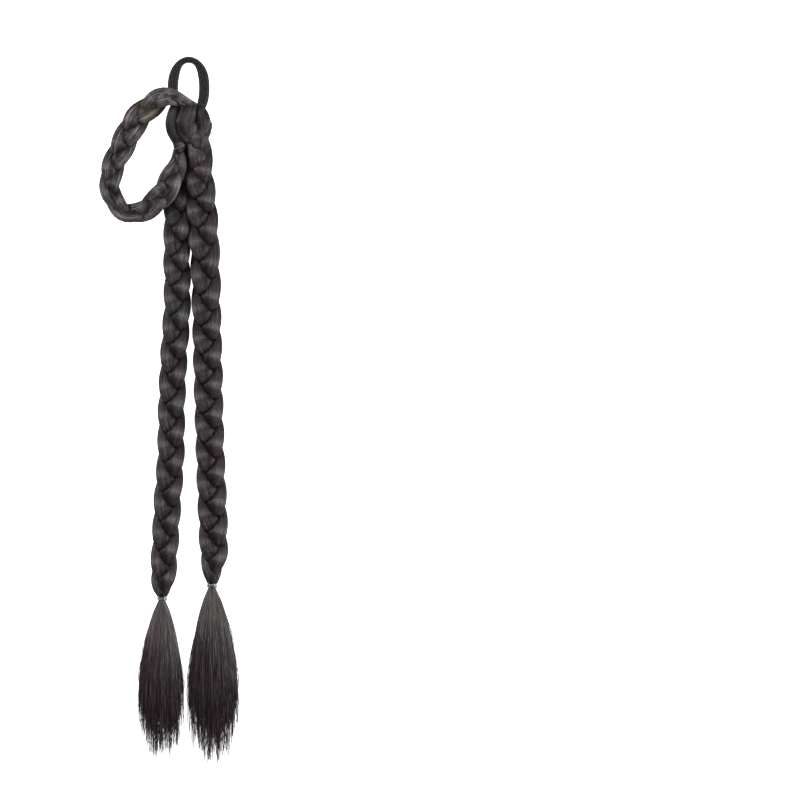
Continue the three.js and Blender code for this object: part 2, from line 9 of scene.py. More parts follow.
import bmesh
import bpy
import numpy as np
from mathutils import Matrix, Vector


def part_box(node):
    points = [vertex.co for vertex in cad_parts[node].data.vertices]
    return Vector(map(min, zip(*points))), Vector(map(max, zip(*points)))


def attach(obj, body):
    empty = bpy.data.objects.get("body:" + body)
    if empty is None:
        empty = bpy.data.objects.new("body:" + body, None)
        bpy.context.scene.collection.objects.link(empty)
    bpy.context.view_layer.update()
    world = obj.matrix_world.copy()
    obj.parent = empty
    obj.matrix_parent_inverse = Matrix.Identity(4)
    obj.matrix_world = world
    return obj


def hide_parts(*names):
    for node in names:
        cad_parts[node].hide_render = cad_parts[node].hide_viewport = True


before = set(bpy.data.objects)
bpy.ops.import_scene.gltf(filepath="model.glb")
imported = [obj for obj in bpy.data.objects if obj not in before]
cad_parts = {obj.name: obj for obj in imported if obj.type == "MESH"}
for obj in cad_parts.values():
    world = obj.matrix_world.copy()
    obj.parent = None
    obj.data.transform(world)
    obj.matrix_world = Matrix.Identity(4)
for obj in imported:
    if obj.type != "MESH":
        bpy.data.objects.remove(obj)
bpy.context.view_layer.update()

MM = 0.001

# Sizes of the real piece, as in the part's source
CLEARANCE = 0.3
RING_WIDTH = 39
RING_HEIGHT = 59
BAND_SIDE = {"wide": 9.9, "thick": 6.5}
BAND_TOP = {"wide": 6, "thick": 9.5}
BAND_HIDDEN = {"wide": 6.5, "thick": 6.5}
RING_FULLNESS = 0.9
RING_CENTRE_UP = 31.5
RING_HIDDEN_HEIGHT = 10.6
CROWN_WIDTH = 41
CROWN_HEIGHT = 17.4
CROWN_THICKNESS = 21.5
LOOP_ABOVE_FOLD = 6.1
LOOP_TIP = {"right": 8, "above_fold": -2.5, "sink": 8}
LOOP_REACH = 52.5
LOOP_DROP = 108
LOOP_RISE = 1.8
LOOP_OUTSIDE = 2.2
LOOP_PRESSED = 0.86
LOOP_START_BEND = {"share": 0.5, "up": -0.8, "rise": 0.8}
TIE_APPROACH = 6
ROOT_THICKNESS = 7.4
PARTING_TO_TIE = 2.7
LEFT_SECTION = {"width": 9.5, "thickness": 11.5, "length": 18}
MAIN_BRAID = {"length": 427, "width": 27, "thickness": 17.2, "turn": 81.6, "phase": 56}
SECOND_BRAID = {"length": 439, "width": 23, "thickness": 15, "turn": 81.6, "phase": 179}
LOOP_BRAID = {"width": 22, "thickness": 13, "turn": 74.7, "phase": -28}
LOOP_TIE = {"height": 8, "wall": 1.4, "neck": 8.2}
MAIN_TIE = {"height": 3.8, "wall": 1.4, "neck": 6.6}
SECOND_TIE = {"height": 3.6, "wall": 1.4, "neck": 6.4}
MAIN_TASSEL = {"length": 158, "width": 46, "thickness": 16, "aside": 1.2}
SECOND_TASSEL = {"length": 143, "width": 42, "thickness": 14, "aside": -0.7}

WORLD_ACROSS = np.array([1.0, 0.0, 0.0])
WORLD_UP = np.array([0.0, 0.0, 1.0])
FULL_TURN = 2 * np.pi

def table(names, *rows):
    """Columns by name from rows of numbers."""
    return {name: np.array([row[i] for row in rows], float) for i, name in enumerate(names.split())}

# How the long braids run below the fold. at: share of a braid's length. aside, wide and lean: shares of its
# width. thick: share of its thickness, and on the second braid of the way to it from the thickness of its
# root. raised: share of the room over the braid under the fold. slip: degrees by which the plait lags.
MAIN_RUN = table(
    "at aside wide thick raised lean slip",
    (0, -0.3, 1.04, 0.94, 1, 0.1, 0),
    (0.028, -0.28, 1.06, 0.94, 0.9, 0.08, 0),
    (0.06, -0.1, 0.8, 0.86, 0.6, 0, 0),
    (0.1, -0.14, 0.91, 0.95, 0.25, 0, 0),
    (0.15, -0.08, 0.96, 1, 0, 0, 0),
    (0.22, 0, 1, 1, 0, 0, 0),
    (0.3, 0.07, 0.98, 1, 0, 0, 18),
    (0.4, 0.11, 0.96, 1, 0, 0, 39),
    (0.5, 0.15, 0.96, 1, 0, 0, 39),
    (0.7, 0.23, 0.95, 1, 0, 0, 39),
    (0.93, 0.36, 0.93, 0.95, 0, 0, 39),
    (0.965, 0.32, 0.7, 0.82, 0, 0, 39),
    (1, 0.29, 0.34, 0.52, 0, 0, 39),
)
SECOND_RUN = table(
    "at aside wide thick",
    (0, 0.03, 0.7, 0),
    (0.023, -0.06, 0.54, 0),
    (0.042, -0.16, 0.45, 0),
    (0.06, -0.14, 0.5, 0),
    (0.1, -0.02, 0.85, 0.12),
    (0.14, 0, 0.96, 0.3),
    (0.2, -0.02, 1, 0.7),
    (0.26, -0.03, 1.03, 1),
    (0.38, -0.05, 1.05, 1),
    (0.48, 0.07, 1.05, 1),
    (0.6, 0.18, 1.05, 1),
    (0.7, 0.21, 1.06, 1),
    (0.8, 0.34, 1.06, 1),
    (0.9, 0.45, 1.04, 1),
    (0.96, 0.52, 0.96, 0.95),
    (0.98, 0.55, 0.74, 0.75),
    (1, 0.57, 0.36, 0.3),
)
# How the loop runs: shares of its reach to the left and of its drop, and how far it has risen from the floor
# towards the height of its start and of its end.
LOOP_RUN = (
    (0.11, 0.025, 0.72, 0),
    (0.25, 0.072, 0.36, 0),
    (0.392, 0.128, 0.1, 0),
    (0.516, 0.185, 0, 0),
    (0.688, 0.333, 0, 0),
    (0.822, 0.467, 0, 0),
    (0.945, 0.603, 0, 0),
    (0.998, 0.765, 0, 0),
    (0.937, 0.877, 0, 0),
    (0.75, 0.985, 0, 0),
    (0.568, 1, 0, 0.05),
    (0.41, 0.978, 0, 0.32),
    (0.251, 0.931, 0, 0.75),
    (0.101, 0.864, 0, 1.05),
    (-0.013, 0.787, 0, 1.12),
    (-0.101, 0.702, 0, 1.08),
    (-0.17, 0.616, 0, 1),
)
# The loop's girth, in shares of its braid's width and thickness.
LOOP_GIRTH = table(
    "at wide thick",
    (0, 0.22, 0.36),
    (0.035, 0.38, 0.55),
    (0.07, 0.56, 0.7),
    (0.104, 0.7, 0.85),
    (0.165, 0.92, 1),
    (0.325, 1.06, 1),
    (0.47, 0.93, 1),
    (0.653, 0.77, 1),
    (0.79, 0.98, 1),
    (0.904, 0.94, 0.92),
    (1, 0.4, 0.6),
)

def column(rows, name, at):
    """Values of a column between its rows, on a smooth curve. A column that a table leaves out is zero."""
    at = np.asarray(at, float)
    if name not in rows:
        return np.zeros_like(at)
    places, values = rows["at"], rows[name]
    last = len(places) - 1
    index = np.clip(np.searchsorted(places, at, side="right") - 1, 0, last - 1)
    before = np.maximum(np.arange(last + 1) - 1, 0)
    after = np.minimum(np.arange(last + 1) + 1, last)
    slope = (values[after] - values[before]) / (places[after] - places[before])
    span = places[index + 1] - places[index]
    t = np.clip((at - places[index]) / span, 0, 1)
    rise = t * t * (3 - 2 * t)
    leave = t * (1 - t) ** 2 * span * slope[index]
    arrive = t * t * (1 - t) * span * slope[index + 1]
    return values[index] * (1 - rise) + values[index + 1] * rise + leave - arrive

def smooth(t):
    """Eases from 0 to 1, level at both ends."""
    t = np.clip(t, 0, 1)
    return t * t * (3 - 2 * t)

def unit(vectors):
    return vectors / np.linalg.norm(vectors, axis=-1, keepdims=True)

def mix(a, b, t):
    return a * (1 - t) + b * t

def fuller(value, power):
    """A sine or cosine raised to a power: under 1, it brings an oval nearer to a rectangle."""
    return np.sign(value) * np.abs(value) ** power

def circle(steps):
    """Even angles once round."""
    return np.linspace(0, FULL_TURN, steps, endpoint=False)

# Where the middle of the fold's lower face lies in the frame, in metres
ring_low, ring_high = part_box("elastic_ring")
crown_low, crown_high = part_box("crown_wrap")
ORIGIN = np.array([(ring_low.x + ring_high.x) / 2, crown_low.y, crown_low.z])

def in_frame(points):
    return points * MM + ORIGIN

# How the braids and the ring run
SWING = {"sideways": 0.38, "upright": 0.5}  # of a braid's half width and half thickness
LOCK_SHARE = {"wide": 0.67, "thick": 0.5}  # of the same, for half of a lock by itself
LIFT_START = 0.93  # share of a long braid at which it begins to rise to its band
LEVEL_ENDS = (0.03, 0.99)  # shares before and after which a long braid runs straight down the table

def tie_radius(tie):
    return tie["neck"] / 2 + CLEARANCE + tie["wall"]

def long_braid(braid, rows, side, thick, room, tie, share):
    """A long braid's middle line, directions, half sizes, lean and slip at shares of its length."""
    end_lift = max(tie_radius(tie) - thick(np.array([1.0]))[0] / 2, 0)
    beside = (braid["width"] + CLEARANCE) / 2
    x = side * (beside + column(rows, "aside", share) * braid["width"])
    z = thick(share) / 2 + column(rows, "raised", share) * room
    z = z + end_lift * smooth((share - LIFT_START) / (1 - LIFT_START))
    middle = np.stack([x, -CLEARANCE - share * braid["length"], z], 1)
    ahead = unit(np.gradient(middle, axis=0))
    level = (share < LEVEL_ENDS[0]) | (share > LEVEL_ENDS[1])
    ahead[level] = (0, -1, 0)
    return {
        "middle": middle,
        "ahead": ahead,
        "across": np.tile(WORLD_ACROSS, (len(share), 1)),
        "half_wide": column(rows, "wide", share) * braid["width"] / 2,
        "half_thick": thick(share) / 2,
        "lean": column(rows, "lean", share) * braid["width"],
        "slip": column(rows, "slip", share),
    }

def main_thick(share):
    return column(MAIN_RUN, "thick", share) * MAIN_BRAID["thickness"]

def second_thick(share):
    return mix(ROOT_THICKNESS, SECOND_BRAID["thickness"], column(SECOND_RUN, "thick", share))

def ring_height_at(y):
    half = (RING_HEIGHT - BAND_TOP["wide"]) / 2
    share = np.clip((RING_CENTRE_UP + half - y) / (2 * half), 0, 1)
    return mix(BAND_TOP["thick"] / 2, RING_HIDDEN_HEIGHT, share)

def ring_middle(angle):
    x = (RING_WIDTH - BAND_SIDE["wide"]) / 2 * fuller(np.cos(angle), RING_FULLNESS)
    y = RING_CENTRE_UP + (RING_HEIGHT - BAND_TOP["wide"]) / 2 * fuller(np.sin(angle), RING_FULLNESS)
    return np.stack([x, y, ring_height_at(y)], -1)

TIE_HEIGHT = ROOT_THICKNESS + CLEARANCE + tie_radius(LOOP_TIE)
LOOP_TIE_X = -(PARTING_TO_TIE + tie_radius(LOOP_TIE))
TIE_END = np.array([LOOP_TIE_X, -3 * CLEARANCE - LEFT_SECTION["length"] - LOOP_TIE["height"], TIE_HEIGHT])

def loop_points():
    half = LOOP_BRAID["thickness"] / 2
    crossing_y = CROWN_HEIGHT + LOOP_ABOVE_FOLD
    start = ring_height_at(crossing_y) + BAND_SIDE["thick"] / 2 + CLEARANCE + half * LOOP_PRESSED
    end = TIE_HEIGHT + LOOP_RISE
    leg = (RING_WIDTH - BAND_SIDE["wide"]) / 2
    crossing = np.array([-leg - LOOP_OUTSIDE, crossing_y, start])
    tip = np.array([LOOP_TIP["right"], CROWN_HEIGHT + LOOP_TIP["above_fold"], start - LOOP_TIP["sink"]])
    between = mix(tip, crossing, LOOP_START_BEND["share"])
    between += (0, LOOP_START_BEND["up"], LOOP_START_BEND["rise"])
    points = [tip, between, crossing]
    for left, down, from_start, from_end in LOOP_RUN:
        z = half + (start - half) * from_start + (end - half) * from_end
        points.append(np.array([-CROWN_WIDTH / 2 - left * LOOP_REACH, crossing_y - down * LOOP_DROP, z]))
    points.append(TIE_END - (0, TIE_APPROACH, 0))
    points.append(TIE_END)
    return np.array(points)

def through(points, steps=60):
    """A smooth line through points, even in how it leaves and meets each one."""
    padded = np.vstack([2 * points[0] - points[1], points, 2 * points[-1] - points[-2]])
    line = []
    for i in range(len(points) - 1):
        p0, p1, p2, p3 = padded[i:i + 4]
        d0, d1, d2 = (math.sqrt(np.linalg.norm(b - a)) for a, b in ((p0, p1), (p1, p2), (p2, p3)))
        leave = ((p1 - p0) / d0 - (p2 - p0) / (d0 + d1) + (p2 - p1) / d1) * d1
        arrive = ((p2 - p1) / d1 - (p3 - p1) / (d1 + d2) + (p3 - p2) / d2) * d1
        t = np.linspace(0, 1, steps, endpoint=False)[:, None]
        bend = (2 * p1 - 2 * p2 + leave + arrive) * t**3
        line.append(bend + (-3 * p1 + 3 * p2 - 2 * leave - arrive) * t**2 + leave * t + p1)
    line.append(points[-1:])
    return np.vstack(line)

def along(line, share):
    """Points at shares of a line's length."""
    lengths = np.concatenate([[0], np.cumsum(np.linalg.norm(np.diff(line, axis=0), axis=1))])
    return np.stack([np.interp(share * lengths[-1], lengths, line[:, i]) for i in range(3)], 1)

LOOP_LINE = through(loop_points())
LOOP_LENGTH = np.linalg.norm(np.diff(LOOP_LINE, axis=0), axis=1).sum()

def loop_braid(share):
    middle = along(LOOP_LINE, share)
    ahead = unit(np.gradient(middle, axis=0))
    return {
        "middle": middle,
        "ahead": ahead,
        "across": unit(np.cross(WORLD_UP, ahead)),
        "half_wide": column(LOOP_GIRTH, "wide", share) * LOOP_BRAID["width"] / 2,
        "half_thick": column(LOOP_GIRTH, "thick", share) * LOOP_BRAID["thickness"] / 2,
        "lean": np.zeros_like(share),
        "slip": np.zeros_like(share),
    }

# The locks of a braid
STEP = 1.6  # mm between a lock's sections
SIDES = 44
LOCK_OVERLAP = 2.2  # mm by which the soft surfaces of two locks sink into each other
START_OVERLAP = 4.8  # mm, where a braid begins and its locks are still loose
START_LENGTH = 85.0
START_OPEN = 0.7  # how far the painted crease shade fades where the locks are still loose
EDGE_SHARPNESS = 6  # how tightly a lock is pressed flat against the others: higher is sharper
SQUARE_END = 0.1  # of a turn, over which a lock's ends turn square to its braid
NEAR_TURN = 0.3  # of a turn: how far along the other locks a lock can be pressed
VALLEY_SHADE = 0.35  # painted shade along a braid's middle, where the locks dip: how open to the light the hair is drawn there
VALLEY_SHARE = 0.6  # of a braid's half width
PRESSED_SHADE = (0.7, 2.6)  # room over own reach, over which the painted shade fades: full where hair is pressed shut, none where it is fully open
COMBED = (9, 13, 17)  # ridges round a lock, one set over the other
RIDGE_HEIGHT = 0.32

def lock_line(place, braid, length, lock, share):
    phase = np.radians(braid["phase"] + 120 * lock - place["slip"] + 360 * share * length / braid["turn"])
    upright = -np.sin(2 * phase)
    sideways = np.sin(phase) * SWING["sideways"] * place["half_wide"] - upright * place["lean"]
    rise = upright * SWING["upright"] * place["half_thick"]
    return place["middle"] + place["across"] * sideways[:, None] + WORLD_UP * rise[:, None]

def ridges(rng, share, length, height, per_round):
    """Long shallow ridges of combed hair: how far a surface stands out, by section and side."""
    angle = circle(SIDES)[None, :]
    along_mm = (share * length)[:, None]
    total = np.zeros((len(share), SIDES))
    for cycles in per_round:
        drift = rng.uniform(-1, 1) * 0.02 * along_mm
        sway = rng.uniform(0.4, 1.2) * np.sin(along_mm / rng.uniform(14, 30) + rng.uniform(0, 6.28))
        fade = 0.6 + 0.4 * np.sin(along_mm / rng.uniform(9, 20) + rng.uniform(0, 6.28))
        total += fade * np.sin(cycles * angle + drift + sway + rng.uniform(0, 6.28))
    return height * total / len(per_round)

def room_beside(line, other, window, directions, overlap):
    """How far a lock reaches in each direction before it meets another lock, which is as far from the
    meeting point as the lock's own line is. A lock may sink in by the overlap."""
    limit = np.full(directions.shape[:2], 1e3)
    rows = np.arange(len(line))
    for shift in range(-window, window + 1):
        away = line - other[np.clip(rows + shift, 0, len(line) - 1)]
        facing = -overlap - np.einsum("ij,isj->is", away, directions)
        apart = np.einsum("ij,ij->i", away, away)[:, None] - overlap**2
        room = apart / np.maximum(2 * facing, 1e-6)
        limit = np.where(facing > 0, np.minimum(limit, room), limit)
    return limit

def braid_locks(place_at, braid, length, seed):
    """The three locks, each pressed against the others: centres, rings of points, and how open they are to
    the light, which darkens the hair's colour as painted shade.
    """
    share = np.linspace(0, 1, round(length / STEP) + 1)
    place = place_at(share)
    lines = [lock_line(place, braid, length, lock, share) for lock in range(3)]
    window = round(NEAR_TURN * braid["turn"] / STEP)
    wide = np.cos(circle(SIDES))[:, None] * LOCK_SHARE["wide"]
    thick = np.sin(circle(SIDES))[:, None] * LOCK_SHARE["thick"]
    from_end = np.minimum(share, 1 - share) * length / (SQUARE_END * braid["turn"])
    loose = 1 - smooth(share * length / START_LENGTH)[:, None]
    overlap = mix(LOCK_OVERLAP, START_OVERLAP, loose)
    locks = []
    for lock, line in enumerate(lines):
        rng = np.random.default_rng(seed + lock)
        own = unit(np.gradient(line, axis=0))
        ahead = unit(mix(place["ahead"], own, smooth(from_end)[:, None]))
        across = unit(np.cross(WORLD_UP, ahead))
        up = np.cross(ahead, across)
        arms = (
            (across * place["half_wide"][:, None])[:, None] * wide
            + (up * place["half_thick"][:, None])[:, None] * thick
        )
        own_reach = np.linalg.norm(arms, axis=2)
        directions = arms / own_reach[..., None]
        others = [lines[(lock + 1) % 3], lines[(lock + 2) % 3]]
        limit = np.minimum(*(room_beside(line, other, window, directions, overlap) for other in others))
        reach = (own_reach**-EDGE_SHARPNESS + limit**-EDGE_SHARPNESS) ** (-1 / EDGE_SHARPNESS)
        reach = reach + ridges(rng, share, length, RIDGE_HEIGHT, COMBED) * smooth(reach / 4)
        rings = line[:, None] + directions * reach[..., None]
        rings[..., 2] = np.maximum(rings[..., 2], 0)
        # Painted shade, darkest along a braid's middle and where a lock is pressed against the others.
        aside = np.abs(np.einsum("isj,ij->is", rings - place["middle"][:, None], place["across"]))
        painted_valley_shade = mix(VALLEY_SHADE, 1, smooth(aside / (VALLEY_SHARE * place["half_wide"][:, None])))
        opens = painted_valley_shade * smooth((limit / own_reach - PRESSED_SHADE[0]) / (PRESSED_SHADE[1] - PRESSED_SHADE[0]))
        locks.append((line, rings, mix(opens, 1, START_OPEN * loose)))
    return locks

def oval_rings(centre, half_wide, half_thick, rib):
    """Rings of points round a line that runs down the table: ribbed ovals, never below the floor."""
    rings = centre[:, None] + rib[..., None] * (
        WORLD_ACROSS * (half_wide[:, None] * np.cos(circle(SIDES)))[..., None]
        + WORLD_UP * (half_thick[:, None] * np.sin(circle(SIDES)))[..., None]
    )
    rings[..., 2] = np.maximum(rings[..., 2], 0)
    return rings

# Meshes
def make_object(name, mesh, material, replaced=()):
    mesh.materials.append(material)
    mesh.shade_smooth()
    piece = bpy.data.objects.new(name, mesh)
    bpy.context.scene.collection.objects.link(piece)
    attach(piece, "root")
    if replaced:
        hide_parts(*replaced)
    return piece

def set_open(mesh, values):
    """How open each vertex is to the light: 0 where it is pressed against other hair. The hair's colour is
    darkened by it as painted shade.
    """
    layer = mesh.attributes.new("open", "FLOAT", "POINT")
    layer.data.foreach_set("value", np.ascontiguousarray(values, np.float32).ravel())

def set_map(mesh, across, lengthways):
    """A UV map in millimetres, from one pair of values for each vertex."""
    loops = np.empty(len(mesh.loops), np.int32)
    mesh.loops.foreach_get("vertex_index", loops)
    layer = mesh.uv_layers.new(name="flow")
    pairs = np.stack([across[loops], lengthways[loops]], 1)
    layer.data.foreach_set("uv", pairs.astype(np.float32).ravel())

def skin(bm_target, rings, closed=False, start=0.0, opens=None):
    """Adds a tube through rings of points to a bmesh: a grid that is rolled up, sewn and capped. start: where
    its map begins, in mm. opens: how open each point is to the light."""
    sides = rings.shape[1]
    rows = np.vstack([rings, rings[:1]]) if closed else rings
    rows = np.concatenate([rows, rows[:, :1]], 1)
    mesh = bpy.data.meshes.new("rolled")
    bm = bmesh.new()
    bmesh.ops.create_grid(bm, x_segments=sides, y_segments=len(rows) - 1, size=1)
    bm.to_mesh(mesh)
    bm.free()
    mesh.vertices.foreach_set("co", in_frame(rows.reshape(-1, 3)).astype(np.float32).ravel())
    girth = np.linalg.norm(np.diff(rows[len(rows) // 2], axis=0), axis=1).sum()
    centres = rows.mean(1)
    lengths = np.concatenate([[0], np.cumsum(np.linalg.norm(np.diff(centres, axis=0), axis=1))])
    across = np.tile(np.linspace(0, girth, sides + 1), len(rows))
    set_map(mesh, across + start, np.repeat(lengths, sides + 1))
    set_open(mesh, np.ones(rows.shape[:2]) if opens is None else np.concatenate([opens, opens[:, :1]], 1))
    bm_target.from_mesh(mesh)
    bpy.data.meshes.remove(mesh)
    bmesh.ops.remove_doubles(bm_target, verts=bm_target.verts, dist=1e-7)
    if not closed:
        rims = [edge for edge in bm_target.edges if edge.is_boundary]
        bmesh.ops.holes_fill(bm_target, edges=rims, sides=0)
    return bm_target

def skin_mesh(name, parts, closed=False, opens=None):
    """One mesh of tubes, each through its own rings of points."""
    bm = bmesh.new()
    for index, rings in enumerate(parts):
        skin(bm, rings, closed, start=PART_SPACING * index, opens=opens)
    bmesh.ops.recalc_face_normals(bm, faces=bm.faces)
    mesh = bpy.data.meshes.new(name)
    bm.to_mesh(mesh)
    bm.free()
    return mesh

STRAND_GIRTH = 0.3  # mm from one side of a strand to the next on its map
MAP_SPREAD = {"across": 900, "along": 500}  # mm over which strands start on the map, so that all differ
PART_SPACING = 97.0  # mm on the map from one tube of a piece to the next

def strand_mesh(name, paths, radii, seed, opens=1.0, even=False):
    """Many thin three-sided strands in one mesh. paths: strand, point, xyz. radii: strand, point. opens:
    how open each point is to the light. even: whether all strands start level on the map."""
    rng = np.random.default_rng(seed)
    count, points = radii.shape
    ahead = unit(np.gradient(paths, axis=1))
    reference = unit(rng.normal(size=(count, 1, 3)) + (0, 0, 0.01))
    side = unit(np.cross(ahead, reference))
    up = np.cross(ahead, side)
    ring = side[:, :, None] * np.cos(circle(3))[:, None] + up[:, :, None] * np.sin(circle(3))[:, None]
    corners = paths[:, :, None] + ring * radii[:, :, None, None]
    first = np.arange(count)[:, None, None] * points * 3
    row = np.arange(points - 1)[None, :, None] * 3
    turn = np.arange(3)[None, None, :]
    a = first + row + turn
    b = first + row + (turn + 1) % 3
    quads = np.stack([a, b, b + 3, a + 3], -1).reshape(-1, 4)
    start = np.stack([first[:, 0, 0] + 2, first[:, 0, 0] + 1, first[:, 0, 0]], 1)
    end = first[:, 0] + (points - 1) * 3 + np.arange(3)
    mesh = bpy.data.meshes.new(name)
    vertices = in_frame(corners.reshape(-1, 3))
    mesh.from_pydata(vertices.tolist(), [], quads.tolist() + start.tolist() + end.tolist())
    lengths = np.concatenate(
        [np.zeros((count, 1)), np.cumsum(np.linalg.norm(np.diff(paths, axis=1), axis=2), axis=1)], 1
    )
    across = np.repeat(rng.uniform(0, MAP_SPREAD["across"], count), points * 3)
    across = across + np.tile(STRAND_GIRTH * turn.ravel(), count * points)
    begin = 0 if even else rng.uniform(0, MAP_SPREAD["along"], (count, 1))
    set_map(mesh, across, np.repeat((lengths + begin).ravel(), 3))
    set_open(mesh, np.repeat(np.broadcast_to(opens, radii.shape), 3, axis=1))
    return mesh

UPPER_SHARE = 0.85  # of the strands lie where they can be seen from above
UPPER_SIDES = (-0.07, 0.57)  # shares of the way round a tube, from its right side over its top to its left
LOWER_SIDES = (0.57, 0.93)
STRAND_END = 0.3  # of its thickness, at a strand's two ends

def lying_strands(rng, rings, centres, count, every, wander, radius, opens=None, lift=0.16):
    """Strands that lie on a tube of hair and run along it: paths, radii and how open they are to the light.
    every: rings from one point to the next. wander: share of the way round by which a strand strays."""
    opens = np.ones(rings.shape[:2]) if opens is None else opens
    rows = np.arange(0, len(rings), every)
    if rows[-1] != len(rings) - 1:
        rows = np.append(rows, len(rings) - 1)
    sides = rings.shape[1]
    around = (np.arange(count) + rng.uniform(0, 1, count)) / count
    above = mix(*UPPER_SIDES, around / UPPER_SHARE)
    below = mix(*LOWER_SIDES, (around - UPPER_SHARE) / (1 - UPPER_SHARE))
    place = np.where(around < UPPER_SHARE, above, below) * sides
    t = rows / len(rings)
    drift = rng.uniform(-1, 1, (count, 1)) * sides * wander
    sway = np.sin(t[None] * rng.uniform(20, 60, (count, 1)) + rng.uniform(0, 6.28, (count, 1)))
    column_at = place[:, None] + drift * t[None] * 3 + sway * sides * wander * 0.5
    low = np.floor(column_at).astype(int)
    part = (column_at - low)[..., None]
    near, far = (rows[None], low % sides), (rows[None], (low + 1) % sides)
    points = mix(rings[near], rings[far], part)
    out = unit(points - centres[rows][None])
    rise = lift * (0.4 + 0.6 * rng.uniform(0, 1, (count, 1, 1)))
    radii = np.full(points.shape[:2], radius) * rng.uniform(0.7, 1.2, (count, 1))
    radii[:, 0] *= STRAND_END
    radii[:, -1] *= STRAND_END
    points = points + out * rise
    points[..., 2] = np.maximum(points[..., 2], radii)
    return points, radii, mix(opens[near], opens[far], part[..., 0])

# Materials
def colour(text):
    """A linear colour from an sRGB hex value."""
    values = [int(text[i:i + 2], 16) / 255 for i in (0, 2, 4)]
    linear = [v / 12.92 if v <= 0.04045 else ((v + 0.055) / 1.055) ** 2.4 for v in values]
    return (*linear, 1)

def add(material, kind, settings=None, links=None):
    """Adds a node with its settings, and links its inputs from (node, output)."""
    tree = material.node_tree
    node = tree.nodes.new(kind)
    for key, value in (settings or {}).items():
        if key in node.inputs:
            node.inputs[key].default_value = value
        else:
            setattr(node, key, value)
    for key, (source, output) in (links or {}).items():
        tree.links.new(source.outputs[output], node.inputs[key])
    return node

def new_material(name):
    material = bpy.data.materials.new(name)
    material.use_nodes = True
    material.node_tree.nodes.clear()
    return material

def ramp(material, fac, stops):
    """A colour ramp through stops of (position, sRGB hex value)."""
    node = add(material, "ShaderNodeValToRGB", links={"Fac": fac})
    elements = node.color_ramp.elements
    while len(elements) < len(stops):
        elements.new(0.5)
    for element, (position, shade) in zip(elements, stops):
        element.position = position
        element.color = colour(shade)
    return node

def multiply(material, first, second):
    """One colour times another, as the node and its output."""
    node = add(
        material, "ShaderNodeMixRGB", {"blend_type": "MULTIPLY", "Fac": 1.0},
        {"Color1": first, "Color2": second},
    )
    return node, "Color"

def finish_material(material, shader):
    output = add(material, "ShaderNodeOutputMaterial")
    material.node_tree.links.new(shader.outputs[0], output.inputs["Surface"])
    return material

STREAK_WIDTH = 0.8  # mm: the real fibre is 0.08 mm, drawn as coarse as it shows
STREAK_LENGTH = 26.0
SOFT_STREAK_WIDTH = 2.6
SOFT_STREAK_LENGTH = 43.3
SOFT_SHARE = 0.4  # of the soft streaks in both kinds together
STREAK_RELIEF = 1.6  # mm: steeper than real fibre, because the streaks stand for whole strands
PATCHES_PER_METRE = 24.0
PATCH_STOPS = (0.38, 0.46, 0.54, 0.62)
# Painted shade: the hair's colour is multiplied by this ramp, by how open it lies to the light, darkest in
# the creases between locks.
PAINTED_CREASE_SHADE = [(0.0, "4c4649"), (0.4, "9a9698"), (0.9, "ffffff")]
CREASE_SHINE = {"least": 0.1, "full_at": 0.8}
EVEN_SHINE = 0.6  # of the full sheen, for a viewer that can't let it vary over the hair
FADED_REACH = (0.006, 0.013)  # metres: where the fading begins to weaken and where it ends

